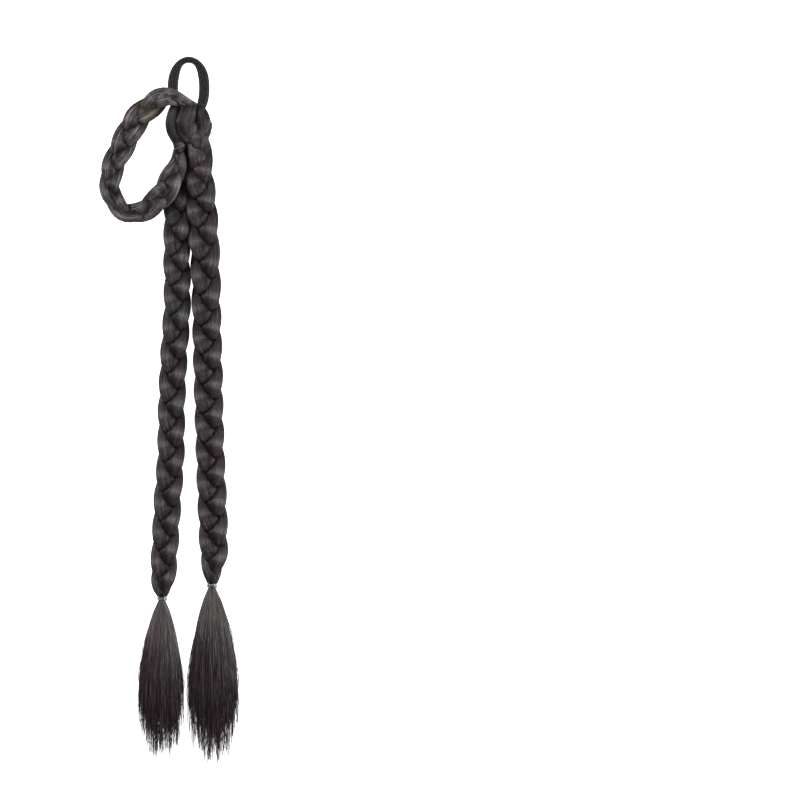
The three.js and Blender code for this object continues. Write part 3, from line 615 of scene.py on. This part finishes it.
def hair_material(name, tones, tints, ends=None, faded=None, spread=0.2, shine=0.62):
    """Kanekalon fibre, straight and combed: dark and cool with a soft sheen across it, in paler and darker
    streaks, tinted a little differently from place to place, and darkened with painted shade where locks
    press together and along a braid's middle. ends: shades that the fibre passes through from where it leaves
    its band to its tip, partly its own tint and partly painted light. faded: a place round which
    the dye has paled, and the colour that it lets through. spread: how far apart the darkest and the lightest
    streaks are. shine: the sheen's strength where the hair lies open."""
    material = new_material(name)
    flow = add(material, "ShaderNodeUVMap", {"uv_map": "flow"})
    fine_scale = (1 / STREAK_WIDTH, 1 / STREAK_LENGTH, 1)
    fine_place = add(material, "ShaderNodeMapping", {"Scale": fine_scale}, {"Vector": (flow, "UV")})
    fine = add(
        material, "ShaderNodeTexNoise", {"Scale": 1.0, "Detail": 3.0, "Roughness": 0.6},
        {"Vector": (fine_place, "Vector")},
    )
    soft_scale = (1 / SOFT_STREAK_WIDTH, 1 / SOFT_STREAK_LENGTH, 1)
    soft_place = add(material, "ShaderNodeMapping", {"Scale": soft_scale}, {"Vector": (flow, "UV")})
    soft = add(
        material, "ShaderNodeTexNoise", {"Scale": 1.0, "Detail": 2.0}, {"Vector": (soft_place, "Vector")}
    )
    both = add(
        material, "ShaderNodeMix", {"data_type": "FLOAT", "Factor": SOFT_SHARE},
        {"A": (fine, "Fac"), "B": (soft, "Fac")},
    )
    tone = ramp(material, (both, "Result"), list(zip((0.5 - spread, 0.5, 0.5 + spread), tones)))
    place = add(material, "ShaderNodeTexCoord")
    patch = add(
        material, "ShaderNodeTexNoise", {"Scale": PATCHES_PER_METRE, "Detail": 1.0, "Roughness": 0.4},
        {"Vector": (place, "Object")},
    )
    tint = ramp(material, (patch, "Fac"), list(zip(PATCH_STOPS, tints)))
    base = multiply(material, (tone, "Color"), (tint, "Color"))
    # The fibre's own tint down a tassel, and painted light that makes it lighter near the band, where the
    # tassel's upper slope catches the lamps.
    if ends:
        lengthways = add(material, "ShaderNodeSeparateXYZ", links={"Vector": (flow, "UV")})
        down = add(
            material, "ShaderNodeMapRange", {"From Min": 0.0, "From Max": ends["length"]},
            {"Value": (lengthways, "Y")},
        )
        shade = ramp(material, (down, "Result"), ends["shades"])
        base = multiply(material, base, (shade, "Color"))
    if faded:
        away = add(
            material, "ShaderNodeVectorMath", {"operation": "DISTANCE"}, {"Vector": (place, "Object")}
        )
        away.inputs[1].default_value = faded["place"]
        paled = add(
            material, "ShaderNodeMapRange",
            {"From Min": FADED_REACH[0], "From Max": FADED_REACH[1], "To Min": 1.0, "To Max": 0.0},
            {"Value": (away, "Value")},
        )
        base = add(
            material, "ShaderNodeMixRGB", {"blend_type": "ADD", "Color2": colour(faded["colour"])},
            {"Fac": (paled, "Result"), "Color1": base},
        ), "Color"
    # Painted shade between locks and along a braid's middle, from how open the hair lies to the light.
    open_to_light = add(material, "ShaderNodeAttribute", {"attribute_name": "open"})
    painted_shade = ramp(material, (open_to_light, "Fac"), PAINTED_CREASE_SHADE)
    base = multiply(material, base, (painted_shade, "Color"))
    gloss = add(
        material, "ShaderNodeMapRange",
        {"From Max": CREASE_SHINE["full_at"], "To Min": CREASE_SHINE["least"], "To Max": shine},
        {"Value": (open_to_light, "Fac")},
    )
    bump = add(
        material, "ShaderNodeBump", {"Strength": 1.0, "Distance": STREAK_RELIEF * MM},
        {"Height": (both, "Result")},
    )
    across = add(material, "ShaderNodeTangent", {"direction_type": "UV_MAP", "uv_map": "flow"})
    shader = add(
        material, "ShaderNodeBsdfPrincipled",
        {"Roughness": 0.54, "IOR": 1.5, "Anisotropic": 0.9, "Specular IOR Level": shine * EVEN_SHINE},
        {
            "Base Color": base, "Normal": (bump, "Normal"), "Tangent": (across, "Tangent"),
            "Specular IOR Level": (gloss, "Result"),
        },
    )
    return finish_material(material, shader)

KNIT_STITCH = 2.4  # mm from one stitch to the next: real ones are half as large, and wouldn't show
KNIT_RELIEF = 0.3  # mm

def knit_material():
    """Nylon knit over elastic: fine ribs of small stitches, near black, with hardly any shine."""
    material = new_material("knitted_nylon_cover")
    flow = add(material, "ShaderNodeUVMap", {"uv_map": "flow"})
    place = add(
        material, "ShaderNodeMapping", {"Scale": (1 / KNIT_STITCH, 1 / KNIT_STITCH, 1)},
        {"Vector": (flow, "UV")},
    )
    ribs = add(
        material, "ShaderNodeTexWave",
        {"Scale": 0.5, "Distortion": 1.4, "Detail": 1.0, "wave_type": "BANDS", "bands_direction": "X"},
        {"Vector": (place, "Vector")},
    )
    stitches = add(
        material, "ShaderNodeTexWave",
        {"Scale": 0.6, "Distortion": 3.0, "Detail": 1.0, "wave_type": "BANDS", "bands_direction": "DIAGONAL"},
        {"Vector": (place, "Vector")},
    )
    both = add(
        material, "ShaderNodeMix", {"data_type": "FLOAT", "Factor": 0.5},
        {"A": (ribs, "Fac"), "B": (stitches, "Fac")},
    )
    tone = ramp(material, (both, "Result"), [(0.3, "010101"), (0.5, "040404"), (0.75, "3a3637")])
    bump = add(
        material, "ShaderNodeBump", {"Strength": 0.6, "Distance": KNIT_RELIEF * MM},
        {"Height": (both, "Result")},
    )
    shader = add(
        material, "ShaderNodeBsdfPrincipled",
        {"Roughness": 0.6, "Specular IOR Level": 0.12},
        {"Normal": (bump, "Normal"), "Base Color": (tone, "Color")},
    )
    return finish_material(material, shader)

PLY_SCALE = 0.5  # of a wave on a map in mm: one slanted ply every 1.3 mm
PLY_RELIEF = 0.2  # mm

def thread_material(name, dark, light):
    """Polyester sewing thread wound tight: two plies that show as slanted bands, slightly shiny."""
    material = new_material(name)
    flow = add(material, "ShaderNodeUVMap", {"uv_map": "flow"})
    plies = add(
        material, "ShaderNodeTexWave",
        {"Scale": PLY_SCALE, "Distortion": 0.3, "wave_type": "BANDS", "bands_direction": "DIAGONAL"},
        {"Vector": (flow, "UV")},
    )
    tone = ramp(material, (plies, "Fac"), [(0.1, dark), (0.9, light)])
    bump = add(
        material, "ShaderNodeBump", {"Strength": 0.5, "Distance": PLY_RELIEF * MM},
        {"Height": (plies, "Fac")},
    )
    shader = add(
        material, "ShaderNodeBsdfPrincipled", {"Roughness": 0.5, "Specular IOR Level": 0.4},
        {"Normal": (bump, "Normal"), "Base Color": (tone, "Color")},
    )
    return finish_material(material, shader)

GLINTS_PER_METRE = 900.0

def band_material():
    """Clear polyurethane band: smooth and glossy. It is drawn in the dark grey of the hair inside it, which
    shows through, with pale streaks where it bends the light."""
    material = new_material("clear_polyurethane_band")
    place = add(material, "ShaderNodeTexCoord")
    cloud = add(
        material, "ShaderNodeTexNoise", {"Scale": GLINTS_PER_METRE, "Detail": 2.0},
        {"Vector": (place, "Object")},
    )
    tone = ramp(material, (cloud, "Fac"), [(0.45, "151314"), (0.66, "8f8b8b")])
    shader = add(
        material, "ShaderNodeBsdfPrincipled",
        {"Roughness": 0.12, "IOR": 1.5, "Specular IOR Level": 0.9},
        {"Base Color": (tone, "Color")},
    )
    return finish_material(material, shader)

FLOOR_GRAINS_PER_METRE = 60.0

def floor_material():
    """White acrylic light table: matt, evenly lit from below, so that hardly any shadow shows."""
    material = new_material("backlit_white_acrylic")
    place = add(material, "ShaderNodeTexCoord")
    grain = add(
        material, "ShaderNodeTexNoise", {"Scale": FLOOR_GRAINS_PER_METRE, "Detail": 3.0},
        {"Vector": (place, "Object")},
    )
    tone = ramp(material, (grain, "Fac"), [(0.3, "fbfbfb"), (0.7, "ffffff")])
    shader = add(
        material, "ShaderNodeBsdfPrincipled",
        {"Roughness": 0.9, "Specular IOR Level": 0.1, "Emission Strength": 1.3},
        {"Base Color": (tone, "Color"), "Emission Color": (tone, "Color")},
    )
    return finish_material(material, shader)

FADED_PLACE = (-0.0205, 0.2737, 0.012)  # metres: the middle of the faded stretch of the loop
HAIR = hair_material(
    "combed_synthetic_hair", ("110e0f", "2e2a2c", "938d8f"), ("fffcf4", "fff6f4", "fff2f6", "ffecf2"),
    faded={"place": FADED_PLACE, "colour": "3a3820"}, spread=0.15,
)
# A darker copy of the hair with less sheen, for the fold and the left section: painted shade where they lie
# under the loop's end and round the ring.
SHADED_FOLD_HAIR = hair_material(
    "folded_synthetic_hair_painted_shade", ("0d0a0b", "1b1618", "453d40"), ("fff7ee", "fff4f2", "fff0f6", "ffedf3"),
    shine=0.4,
)
PLUM_HAIR = hair_material(
    "plum_synthetic_hair", ("171415", "292527", "4a4547"), ("fffaf0", "ffeef0", "ffe2f4", "ffd4ec"),
)
LOOSE = ("0c0a0b", "312d2e", "aca3a5")
LOOSE_TINTS = ("fffbee", "fff2f0", "ffe6f2", "ffdaea")
LOOSE_LENGTH = 160.0
# Tassel hair, lighter near the band than halfway down: partly painted light on each tassel's upper slope,
# partly its own tint, greener on the main tassel and plum on the second.
GREENISH_TASSEL_HAIR = hair_material(
    "greenish_loose_hair_painted_lit_top", LOOSE, LOOSE_TINTS,
    {
        "length": LOOSE_LENGTH,
        "shades": [(0.0, "b4b9b0"), (0.24, "b0b3aa"), (0.45, "9e8f96"), (0.8, "aa969f")],
    },
    spread=0.12,
)
PLUM_TASSEL_HAIR = hair_material(
    "plum_loose_hair_painted_lit_top", LOOSE, LOOSE_TINTS,
    {
        "length": LOOSE_LENGTH,
        "shades": [(0.0, "c0b8ba"), (0.24, "b9a9ae"), (0.45, "a28f98"), (0.8, "aa969f")],
    },
    spread=0.12,
)
KNIT = knit_material()
THREAD = thread_material("wound_polyester_thread", "0a0909", "353132")
TOP_THREAD = thread_material("crossing_polyester_thread", "1a1819", "787274")
BAND = band_material()

# Camera: straight above the middle of the photograph's frame
FRAME_WIDTH = 0.74  # metres across the whole frame, at the middle of the hair's thickness
LENS = 200
SENSOR = 36
FAR_CLIP = 50
PHOTO_SCALE = 0.925  # mm a pixel, at the floor
FOLD_PIXEL = (188.4, 122)  # where the middle of the fold's lower face is in the photograph
FRAME_MIDDLE = 400

camera_data = bpy.data.cameras.new("camera")
camera_data.lens = LENS
camera_data.sensor_width = SENSOR
camera_data.clip_end = FAR_CLIP
camera = bpy.data.objects.new("camera", camera_data)
bpy.context.scene.collection.objects.link(camera)
bpy.context.scene.camera = camera
frame_middle = in_frame(np.array([
    (FRAME_MIDDLE - FOLD_PIXEL[0]) * PHOTO_SCALE,
    (FOLD_PIXEL[1] - FRAME_MIDDLE) * PHOTO_SCALE,
    CROWN_THICKNESS / 2,
]))
camera.location = (frame_middle[0], frame_middle[1], frame_middle[2] + FRAME_WIDTH * LENS / SENSOR)

# Light: a white surround at low strength, a large soft lamp high on the left beyond the ring, and a second
# one low on the right, level with the middle of the braids. Places and sizes are in metres, power in watts.
KEY = {"place": (-1.9, 1.0, 1.4), "size": 1.0, "power": 60}
FILL = {"place": (2.1, 0.1, 0.9), "size": 1.2, "power": 64}
SURROUND = 0.38
FLOOR_HALF = 4

def area_light(name, lamp):
    """A round soft lamp that is aimed at the middle of the hairpiece."""
    data = bpy.data.lights.new(name, "AREA")
    data.shape = "DISK"
    data.size = lamp["size"]
    data.energy = lamp["power"]
    light = bpy.data.objects.new(name, data)
    light.location = lamp["place"]
    light.rotation_mode = "QUATERNION"
    light.rotation_quaternion = (-Vector(lamp["place"])).to_track_quat("-Z", "Y")
    bpy.context.scene.collection.objects.link(light)

area_light("key", KEY)
area_light("fill", FILL)

world = bpy.data.worlds.new("studio")
bpy.context.scene.world = world
world.use_nodes = True
world.node_tree.nodes["Background"].inputs["Color"].default_value = (1, 1, 1, 1)
world.node_tree.nodes["Background"].inputs["Strength"].default_value = SURROUND
bpy.context.scene.view_settings.view_transform = "Standard"

floor_mesh = bpy.data.meshes.new("floor")
floor_bm = bmesh.new()
bmesh.ops.create_grid(floor_bm, x_segments=8, y_segments=8, size=FLOOR_HALF)
floor_bm.to_mesh(floor_mesh)
floor_bm.free()
floor_mesh.materials.append(floor_material())
floor = bpy.data.objects.new("floor", floor_mesh)
bpy.context.scene.collection.objects.link(floor)

# Braids of hair, each with strands that lie on its locks
STRAND = 0.24  # mm: half of a strand's thickness
FLY_AWAY = 0.06

def build_braid(name, place_at, braid, length, hair, seed, strands, stray):
    """Three locks, with so many strands on each and so many stray hairs that stand off it."""
    rng = np.random.default_rng(seed + 50)
    locks = braid_locks(place_at, braid, length, seed)
    lying = []
    for index, (centres, rings, opens) in enumerate(locks):
        node = f"{name}_lock_{index + 1}"
        make_object(f"{node}_hair", skin_mesh(node, [rings], opens=opens), hair, [node])
        lying.append(lying_strands(rng, rings, centres, strands, 2, 0.02, STRAND, opens))
    paths, radii, opens = (np.vstack(values) for values in zip(*lying))
    strand_name = f"{name}_strands"
    make_object(strand_name, strand_mesh(strand_name, paths, radii, seed, opens), hair)
    lines = np.vstack([fly_away(rng, centres, rings, stray) for centres, rings, _ in locks])
    mesh = strand_mesh(f"{name}_fly_away", lines, np.full(lines.shape[:2], FLY_AWAY), seed + 1)
    make_object(f"{name}_fly_away", mesh, hair)
    return locks

FLY_POINTS = 9
FLY_SPAN = (6, 16)  # sections of a lock that a stray hair passes

def fly_away(rng, centres, rings, count):
    """Thin hairs that leave a lock, stand off it by a millimetre or two, and end in the air or back on it."""
    span = rng.integers(*FLY_SPAN, count)
    start = rng.integers(0, len(rings) - FLY_SPAN[1] - 1, count)
    side = rng.integers(0, rings.shape[1], count)
    t = np.linspace(0, 1, FLY_POINTS)
    rows = (start[:, None] + t * span[:, None]).round().astype(int)
    on_lock = rings[rows, side[:, None]]
    out = unit(on_lock - centres[rows])
    rise = rng.uniform(0.4, 2.0, (count, 1)) * np.sin(t * rng.uniform(1.6, 3.1, (count, 1)))
    drift = rng.normal(0, 0.5, (count, 1, 3)) * (t * t)[None, :, None]
    path = on_lock + out * rise[..., None] + drift
    path[..., 2] = np.maximum(path[..., 2], 0.1)
    return path

def main_place(share):
    room = CROWN_THICKNESS - MAIN_BRAID["thickness"]
    return long_braid(MAIN_BRAID, MAIN_RUN, 1, main_thick, room, MAIN_TIE, share)

def second_place(share):
    return long_braid(SECOND_BRAID, SECOND_RUN, -1, second_thick, 0, SECOND_TIE, share)

main_locks = build_braid(
    "main_braid", main_place, MAIN_BRAID, MAIN_BRAID["length"], PLUM_HAIR,
    seed=11, strands=44, stray=40,
)
build_braid(
    "second_braid", second_place, SECOND_BRAID, SECOND_BRAID["length"], PLUM_HAIR,
    seed=23, strands=40, stray=40,
)
build_braid("loop_braid", loop_braid, LOOP_BRAID, LOOP_LENGTH, HAIR, seed=37, strands=42, stray=34)

# The elastic ring
RIBS = 16
RIB_DEPTH = 0.06  # of the ring's half thickness
BAND_FULLNESS = 1 / 1.2
RING_STEPS = 160
BAND_SIDES = 64

def elastic_ring():
    angle = circle(RING_STEPS)
    middle = ring_middle(angle)
    ahead = unit(np.roll(middle, -1, 0) - np.roll(middle, 1, 0))
    across = unit(np.cross(WORLD_UP, ahead))
    up = np.cross(ahead, across)
    half = {}
    for name in ("wide", "thick"):
        end = np.where(np.sin(angle) > 0, BAND_TOP[name], BAND_HIDDEN[name])
        half[name] = mix(BAND_SIDE[name], end, smooth(np.sin(angle) ** 2))[:, None] / 2
    around = circle(BAND_SIDES)
    rib = 1 - RIB_DEPTH * (1 - np.cos(RIBS * around))[None, :, None] / 2
    rings = middle[:, None] + rib * (
        across[:, None] * (half["wide"] * fuller(np.cos(around), BAND_FULLNESS))[..., None]
        + up[:, None] * (half["thick"] * fuller(np.sin(around), BAND_FULLNESS))[..., None]
    )
    mesh = skin_mesh("elastic_ring_cover", [rings], closed=True)
    make_object("elastic_ring_cover", mesh, KNIT, ["elastic_ring"])

elastic_ring()

# The section of loose hair from the fold's left side to the loop's tie
LEFT_RUN = table(
    "at x wide thick",
    (0, 0, 1, 1),
    (0.35, 0.12, 0.98, 0.95),
    (0.7, 0.55, 0.8, 0.85),
    (1, 1, 0.86, 0.72),
    (1.2, 1, 0.86, 0.72),
)

LEFT_RUN_ON = 1.4  # of its length: how far the section runs, on through its tie
LEFT_STEPS = 46
LEFT_RIBS = {"share": 0.03, "round": (11, 15), "length": 28}

def left_section():
    at = np.linspace(0, LEFT_RUN_ON, LEFT_STEPS)
    x = mix(LOBES["left"]["x"] * CROWN_WIDTH, LOOP_TIE_X, column(LEFT_RUN, "x", at))
    half_wide = column(LEFT_RUN, "wide", at) * LEFT_SECTION["width"] / 2
    half_thick = column(LEFT_RUN, "thick", at) * LEFT_SECTION["thickness"] / 2
    neck = smooth((at - 0.85) / 0.2)
    half_wide = mix(half_wide, LOOP_TIE["neck"] / 2, neck)
    half_thick = mix(half_thick, LOOP_TIE["neck"] / 2, neck)
    z = mix(ROOT_THICKNESS + CLEARANCE + half_thick, TIE_HEIGHT, neck)
    centre = np.stack([x, -CLEARANCE - at * LEFT_SECTION["length"], z], 1)
    rng = np.random.default_rng(81)
    rib = 1 + ridges(rng, at / LEFT_RUN_ON, LEFT_RIBS["length"], LEFT_RIBS["share"], LEFT_RIBS["round"])
    rings = oval_rings(centre, half_wide, half_thick, rib)
    make_object("left_section_hair", skin_mesh("left_section", [rings]), SHADED_FOLD_HAIR, ["left_section"])
    lying, thickness, _ = lying_strands(rng, rings, centre, 50, 3, 0.01, 0.22)
    strands = strand_mesh("left_section_strands", lying, thickness, 82)
    make_object("left_section_strands", strands, SHADED_FOLD_HAIR)
    return rings

# The fold of hair over the ring: lobes with round tops, each of which grows out of the hair below it. x, top
# and half: the middle at the fold's lower face, the middle at the top and the half width, in shares of the
# fold's width. height: share of the fold's height. low and high: mm above the floor.
LOBES = {
    "left": {"x": -0.37, "top": -0.31, "half": 0.145, "height": 0.94, "low": 2.6, "high": 19.4},
    "centre": {"x": -0.075, "top": 0.075, "half": 0.24, "height": 0.99, "low": 2.8, "high": 21.8},
    "right": {"x": 0.355, "top": 0.29, "half": 0.15, "height": 0.8, "low": 2.6, "high": 19.8},
    "back": {"x": -0.02, "top": -0.02, "half": 0.43, "height": 0.88, "low": 0.0, "high": 12.0},
}
LOBE_SHAPE = table(
    "at wide thick",
    (0, 1, 1),
    (0.3, 0.98, 1),
    (0.55, 0.87, 0.97),
    (0.75, 0.73, 0.86),
    (0.88, 0.56, 0.66),
    (0.96, 0.35, 0.4),
    (1, 0.08, 0.1),
)
RUN_ON = 30.0  # mm that a lobe runs on below the fold, inside the hair that it turns into
LOBE_RIBS = {"share": 0.03, "length": 34}
BACK = {"run_on": 52.0, "turn": 14.0, "x": 2.5, "half_wide": 7.5, "half_thick": 2.2, "above_floor": 0.1}
BACK_RIBS = {"share": 0.02, "length": 60}
BACK_STEPS = 60

def lobe_rings(lobe, line, half, rng):
    """Rings of points of one lobe, from inside the hair below it, which it turns into, up to its top. line:
    that hair's middle. half: half of the lobe's width and thickness at its end there."""
    top = lobe["height"] * CROWN_HEIGHT
    y = np.concatenate([np.linspace(-RUN_ON, 0.7 * top, 36), np.linspace(0.72 * top, top, 22)])
    at = np.maximum(y / top, 0)
    sunk = smooth(-y / RUN_ON)
    own_x = mix(lobe["x"], lobe["top"], at) * CROWN_WIDTH
    x = mix(own_x, np.interp(-y, -line[:, 1], line[:, 0]), sunk)
    z = mix((lobe["low"] + lobe["high"]) / 2, np.interp(-y, -line[:, 1], line[:, 2]), sunk)
    half_wide = mix(lobe["half"] * CROWN_WIDTH * column(LOBE_SHAPE, "wide", at), half[0], sunk**0.7)
    half_thick = mix((lobe["high"] - lobe["low"]) / 2 * column(LOBE_SHAPE, "thick", at), half[1], sunk)
    share = (y + RUN_ON) / (top + RUN_ON)
    rib = 1 + ridges(rng, share, LOBE_RIBS["length"], LOBE_RIBS["share"], COMBED)
    return oval_rings(np.stack([x, y, z], 1), half_wide, half_thick, rib)

def back_rings(lobe, rng):
    """The flat layer under the lobes, which runs on under the start of the braids."""
    top = lobe["height"] * CROWN_HEIGHT
    y = np.linspace(-BACK["run_on"], top, BACK_STEPS)
    at = np.maximum(y / top, 0)
    under = smooth(-y / BACK["turn"])
    x = mix(lobe["x"] * CROWN_WIDTH, BACK["x"], under)
    half_wide = mix(lobe["half"] * CROWN_WIDTH * column(LOBE_SHAPE, "wide", at), BACK["half_wide"], under)
    half_thick = mix(lobe["high"] / 2 * column(LOBE_SHAPE, "thick", at), BACK["half_thick"], under)
    share = (y + BACK["run_on"]) / (top + BACK["run_on"])
    rib = 1 + ridges(rng, share, BACK_RIBS["length"], BACK_RIBS["share"], COMBED)
    return oval_rings(np.stack([x, y, half_thick + BACK["above_floor"]], 1), half_wide, half_thick, rib)

def crown(left_hair):
    rng = np.random.default_rng(71)
    parts = [
        lobe_rings(LOBES["left"], left_hair.mean(1), (3.6, 4.8), rng),
        lobe_rings(LOBES["centre"], main_locks[2][0], (1.6, 3.6), rng),
        lobe_rings(LOBES["right"], main_locks[0][0], (1.6, 3.6), rng),
        back_rings(LOBES["back"], rng),
    ]
    make_object("crown_wrap_hair", skin_mesh("crown_wrap", parts), SHADED_FOLD_HAIR, ["crown_wrap"])
    for index, rings in enumerate(parts):
        lying, thickness, _ = lying_strands(rng, rings, rings.mean(1), 64, 3, 0.01, STRAND)
        strands = strand_mesh(f"crown_strands_{index + 1}", lying, thickness, 72 + index)
        make_object(f"crown_strands_{index + 1}", strands, SHADED_FOLD_HAIR)

crown(left_section())

# Ties
def wound(centre, radius, height, turns, thread, tilt, rng, points=28):
    """Rings of points of a thread wound round a neck that runs along Y. thread: half its thickness. tilt:
    how far its turns lean. points: points of its line in each turn."""
    t = np.linspace(0, 1, turns * points)
    angle = FULL_TURN * turns * t
    lean = tilt * np.sin(angle + rng.uniform(0, 6.28))
    y = centre[1] - height * t + lean
    out = radius - thread * 0.2 * (1 - np.sin(angle * 0.37))
    line = np.stack([centre[0] + out * np.cos(angle), y, centre[2] + out * np.sin(angle)], 1)
    ahead = unit(np.gradient(line, axis=0))
    outward = unit(np.stack([np.cos(angle), np.zeros_like(angle), np.sin(angle)], 1))
    side = unit(np.cross(ahead, outward))
    around = circle(8)
    return line[:, None] + thread * (
        outward[:, None] * np.cos(around)[:, None] + side[:, None] * np.sin(around)[:, None]
    )

def loop_tie():
    rng = np.random.default_rng(91)
    top = np.array([LOOP_TIE_X, TIE_END[1] + CLEARANCE + LOOP_TIE["height"], TIE_HEIGHT])
    inner = LOOP_TIE["neck"] / 2 + CLEARANCE
    under = [wound(top - (0, 0.8, 0), inner, LOOP_TIE["height"] - 1.6, 6, 0.58, 0.3, rng)]
    make_object("loop_tie_thread", skin_mesh("loop_tie", under), THREAD, ["loop_tie"])
    crossing = [
        wound(top - (0, 2.2, 0), inner + 0.8, 3.2, 2, 0.42, 1.3, rng),
        wound(top - (0, 4.2, 0), inner + 0.9, 0.8, 1, 0.42, -2.4, rng),
    ]
    make_object("loop_tie_crossing", skin_mesh("loop_tie_crossing", crossing), TOP_THREAD)

loop_tie()

def band(name, tie, end):
    rng = np.random.default_rng(93)
    inner = tie["neck"] / 2 + CLEARANCE
    top = end - (0, CLEARANCE + 0.5, 0)
    parts = [wound(top, inner + 0.7, tie["height"] - 1.4, 3, 0.7, 0.25, rng, points=36)]
    make_object(f"{name}_band", skin_mesh(name, parts), BAND, [name])

MAIN_END = main_place(np.array([0.999, 1.0]))["middle"][-1]
SECOND_END = second_place(np.array([0.999, 1.0]))["middle"][-1]
band("main_tie", MAIN_TIE, MAIN_END)
band("second_tie", SECOND_TIE, SECOND_END)

# Tassels of loose strands. wide: share of the tassel's width, which its outermost strands follow.
TASSEL_SHAPE = table(
    "at wide thick spread",
    (0, 0.2, 0.5, 0.0),
    (0.06, 0.33, 0.62, 0.2),
    (0.12, 0.47, 0.75, 0.38),
    (0.2, 0.62, 0.88, 0.6),
    (0.3, 0.76, 0.98, 0.78),
    (0.42, 0.9, 1, 0.92),
    (0.56, 1, 0.96, 1),
    (0.75, 1.02, 0.74, 1),
    (1, 0.98, 0.4, 1),
)
STRAND_POINTS = 10
STRAND_RADIUS = (0.3, 0.13)  # mm, at a strand's root and at its tip
CROWDING = 0.42  # a power: under 0.5, more strands lie near a tassel's outside than in its middle
FLARE = {"across": 0.07, "down": 0.26}  # shares of the length over which a tassel opens and comes to lie
ROOT_RISE = 1.6  # mm that the strands run on up through the band, into the braid's end
NECK_FILL = 0.9  # of the band's neck that the strands fill
TIPS = 11  # pointed bunches that the hair parts into, across a tassel
CLUMPS = 170
STRAY_SHARE = 0.3
STRAY_LOOSENESS = 5
STRAY_REACH = 4.5  # mm that a loose hair stands off to the side at most
CLUMP_GATHER = 0.5
TIP_GATHER = 0.3
LONG_SHARE = 0.4  # of what a strand would reach past the tassel's length
THINNING = 0.46  # share of its length over which a tassel thins out to nothing
THINNING_POWER = 0.45  # under 1, few strands reach the very end
SIDE_SHORTER = 0.17  # share by which the hair at a tassel's sides is shorter

def tassel(name, size, tie, end, hair, seed, count):
    """Strands that leave the band together, part into clumps, and gather into a ragged row of tips."""
    rng = np.random.default_rng(seed)
    angle = rng.uniform(0, FULL_TURN, count)
    radius = rng.uniform(0, 1, count) ** CROWDING
    a = radius * np.cos(angle)
    b = radius * np.sin(angle)
    centres = rng.normal(0, 0.5, (CLUMPS, 2)).clip(-0.95, 0.95)
    nearest = ((np.stack([a, b], 1)[:, None] - centres[None]) ** 2).sum(2).argmin(1)
    tips = np.linspace(-0.96, 0.96, TIPS) + rng.uniform(-0.03, 0.03, TIPS)
    tip = np.abs(centres[:, 0, None] - tips[None]).argmin(1)
    tip_reach = rng.uniform(1.09, 1.19, TIPS)[tip] * (1 - SIDE_SHORTER * np.abs(tips[tip]) ** 2)
    clump_reach = tip_reach * rng.uniform(0.93, 1.02, CLUMPS)
    reach = clump_reach[nearest] * (1 - THINNING * rng.uniform(0, 1, count) ** THINNING_POWER)
    reach = np.minimum(reach, 1 + (reach - 1) * LONG_SHARE)
    t = np.concatenate([[0], np.linspace(0, 1, STRAND_POINTS - 1)])[None] * reach[:, None]
    gather = CLUMP_GATHER * smooth((t - 0.45) / 0.45)
    across = mix(a[:, None], centres[nearest, 0][:, None], gather)
    gather_tip = TIP_GATHER * smooth((t - 0.66) / 0.3)
    across = mix(across, tips[tip[nearest]][:, None], gather_tip)
    height = mix(b[:, None], centres[nearest, 1][:, None], gather)
    wide = column(TASSEL_SHAPE, "wide", t) * size["width"] / 2
    thick = column(TASSEL_SHAPE, "thick", t) * size["thickness"] / 2
    neck = tie["neck"] / 2 * NECK_FILL
    leave = smooth(t / FLARE["across"])
    x = end[0] + across * mix(neck, wide, leave) + column(TASSEL_SHAPE, "spread", t) * size["aside"]
    z = mix(end[2], thick, smooth(t / FLARE["down"])) + height * mix(neck, thick, leave)
    frizz = smooth(t * 1.2) ** 1.5
    loose = rng.exponential(0.3, (count, 1)) + 0.15
    stray = rng.uniform(0, 1, (count, 1)) < STRAY_SHARE
    loose = loose * np.where(stray, STRAY_LOOSENESS, 1)
    wave = rng.uniform(1.5, 4, (count, 1))
    sway = np.sin(wave * t * 6.28 + rng.uniform(0, 6.28, (count, 1))) + rng.normal(0, 1.35, (count, 1))
    x = x + (frizz * loose * sway).clip(-STRAY_REACH, STRAY_REACH)
    z = z + frizz * rng.normal(0, 0.5, (count, 1))
    radii = mix(*STRAND_RADIUS, smooth(t / reach[:, None]) ** 1.5) * rng.uniform(0.8, 1.2, (count, 1))
    z = np.maximum(z, radii + 0.05)
    y = end[1] - CLEARANCE - tie["height"] * 0.8 - t * (size["length"] + tie["height"] * 0.2)
    y[:, 0] = end[1] + ROOT_RISE
    mesh = strand_mesh(name, np.stack([x, y, z], 2), radii, seed, even=True)
    make_object(f"{name}_strands", mesh, hair, [name])

tassel("main_tassel", MAIN_TASSEL, MAIN_TIE, MAIN_END, GREENISH_TASSEL_HAIR, seed=101, count=3400)
tassel("second_tassel", SECOND_TASSEL, SECOND_TIE, SECOND_END, PLUM_TASSEL_HAIR, seed=103, count=3000)
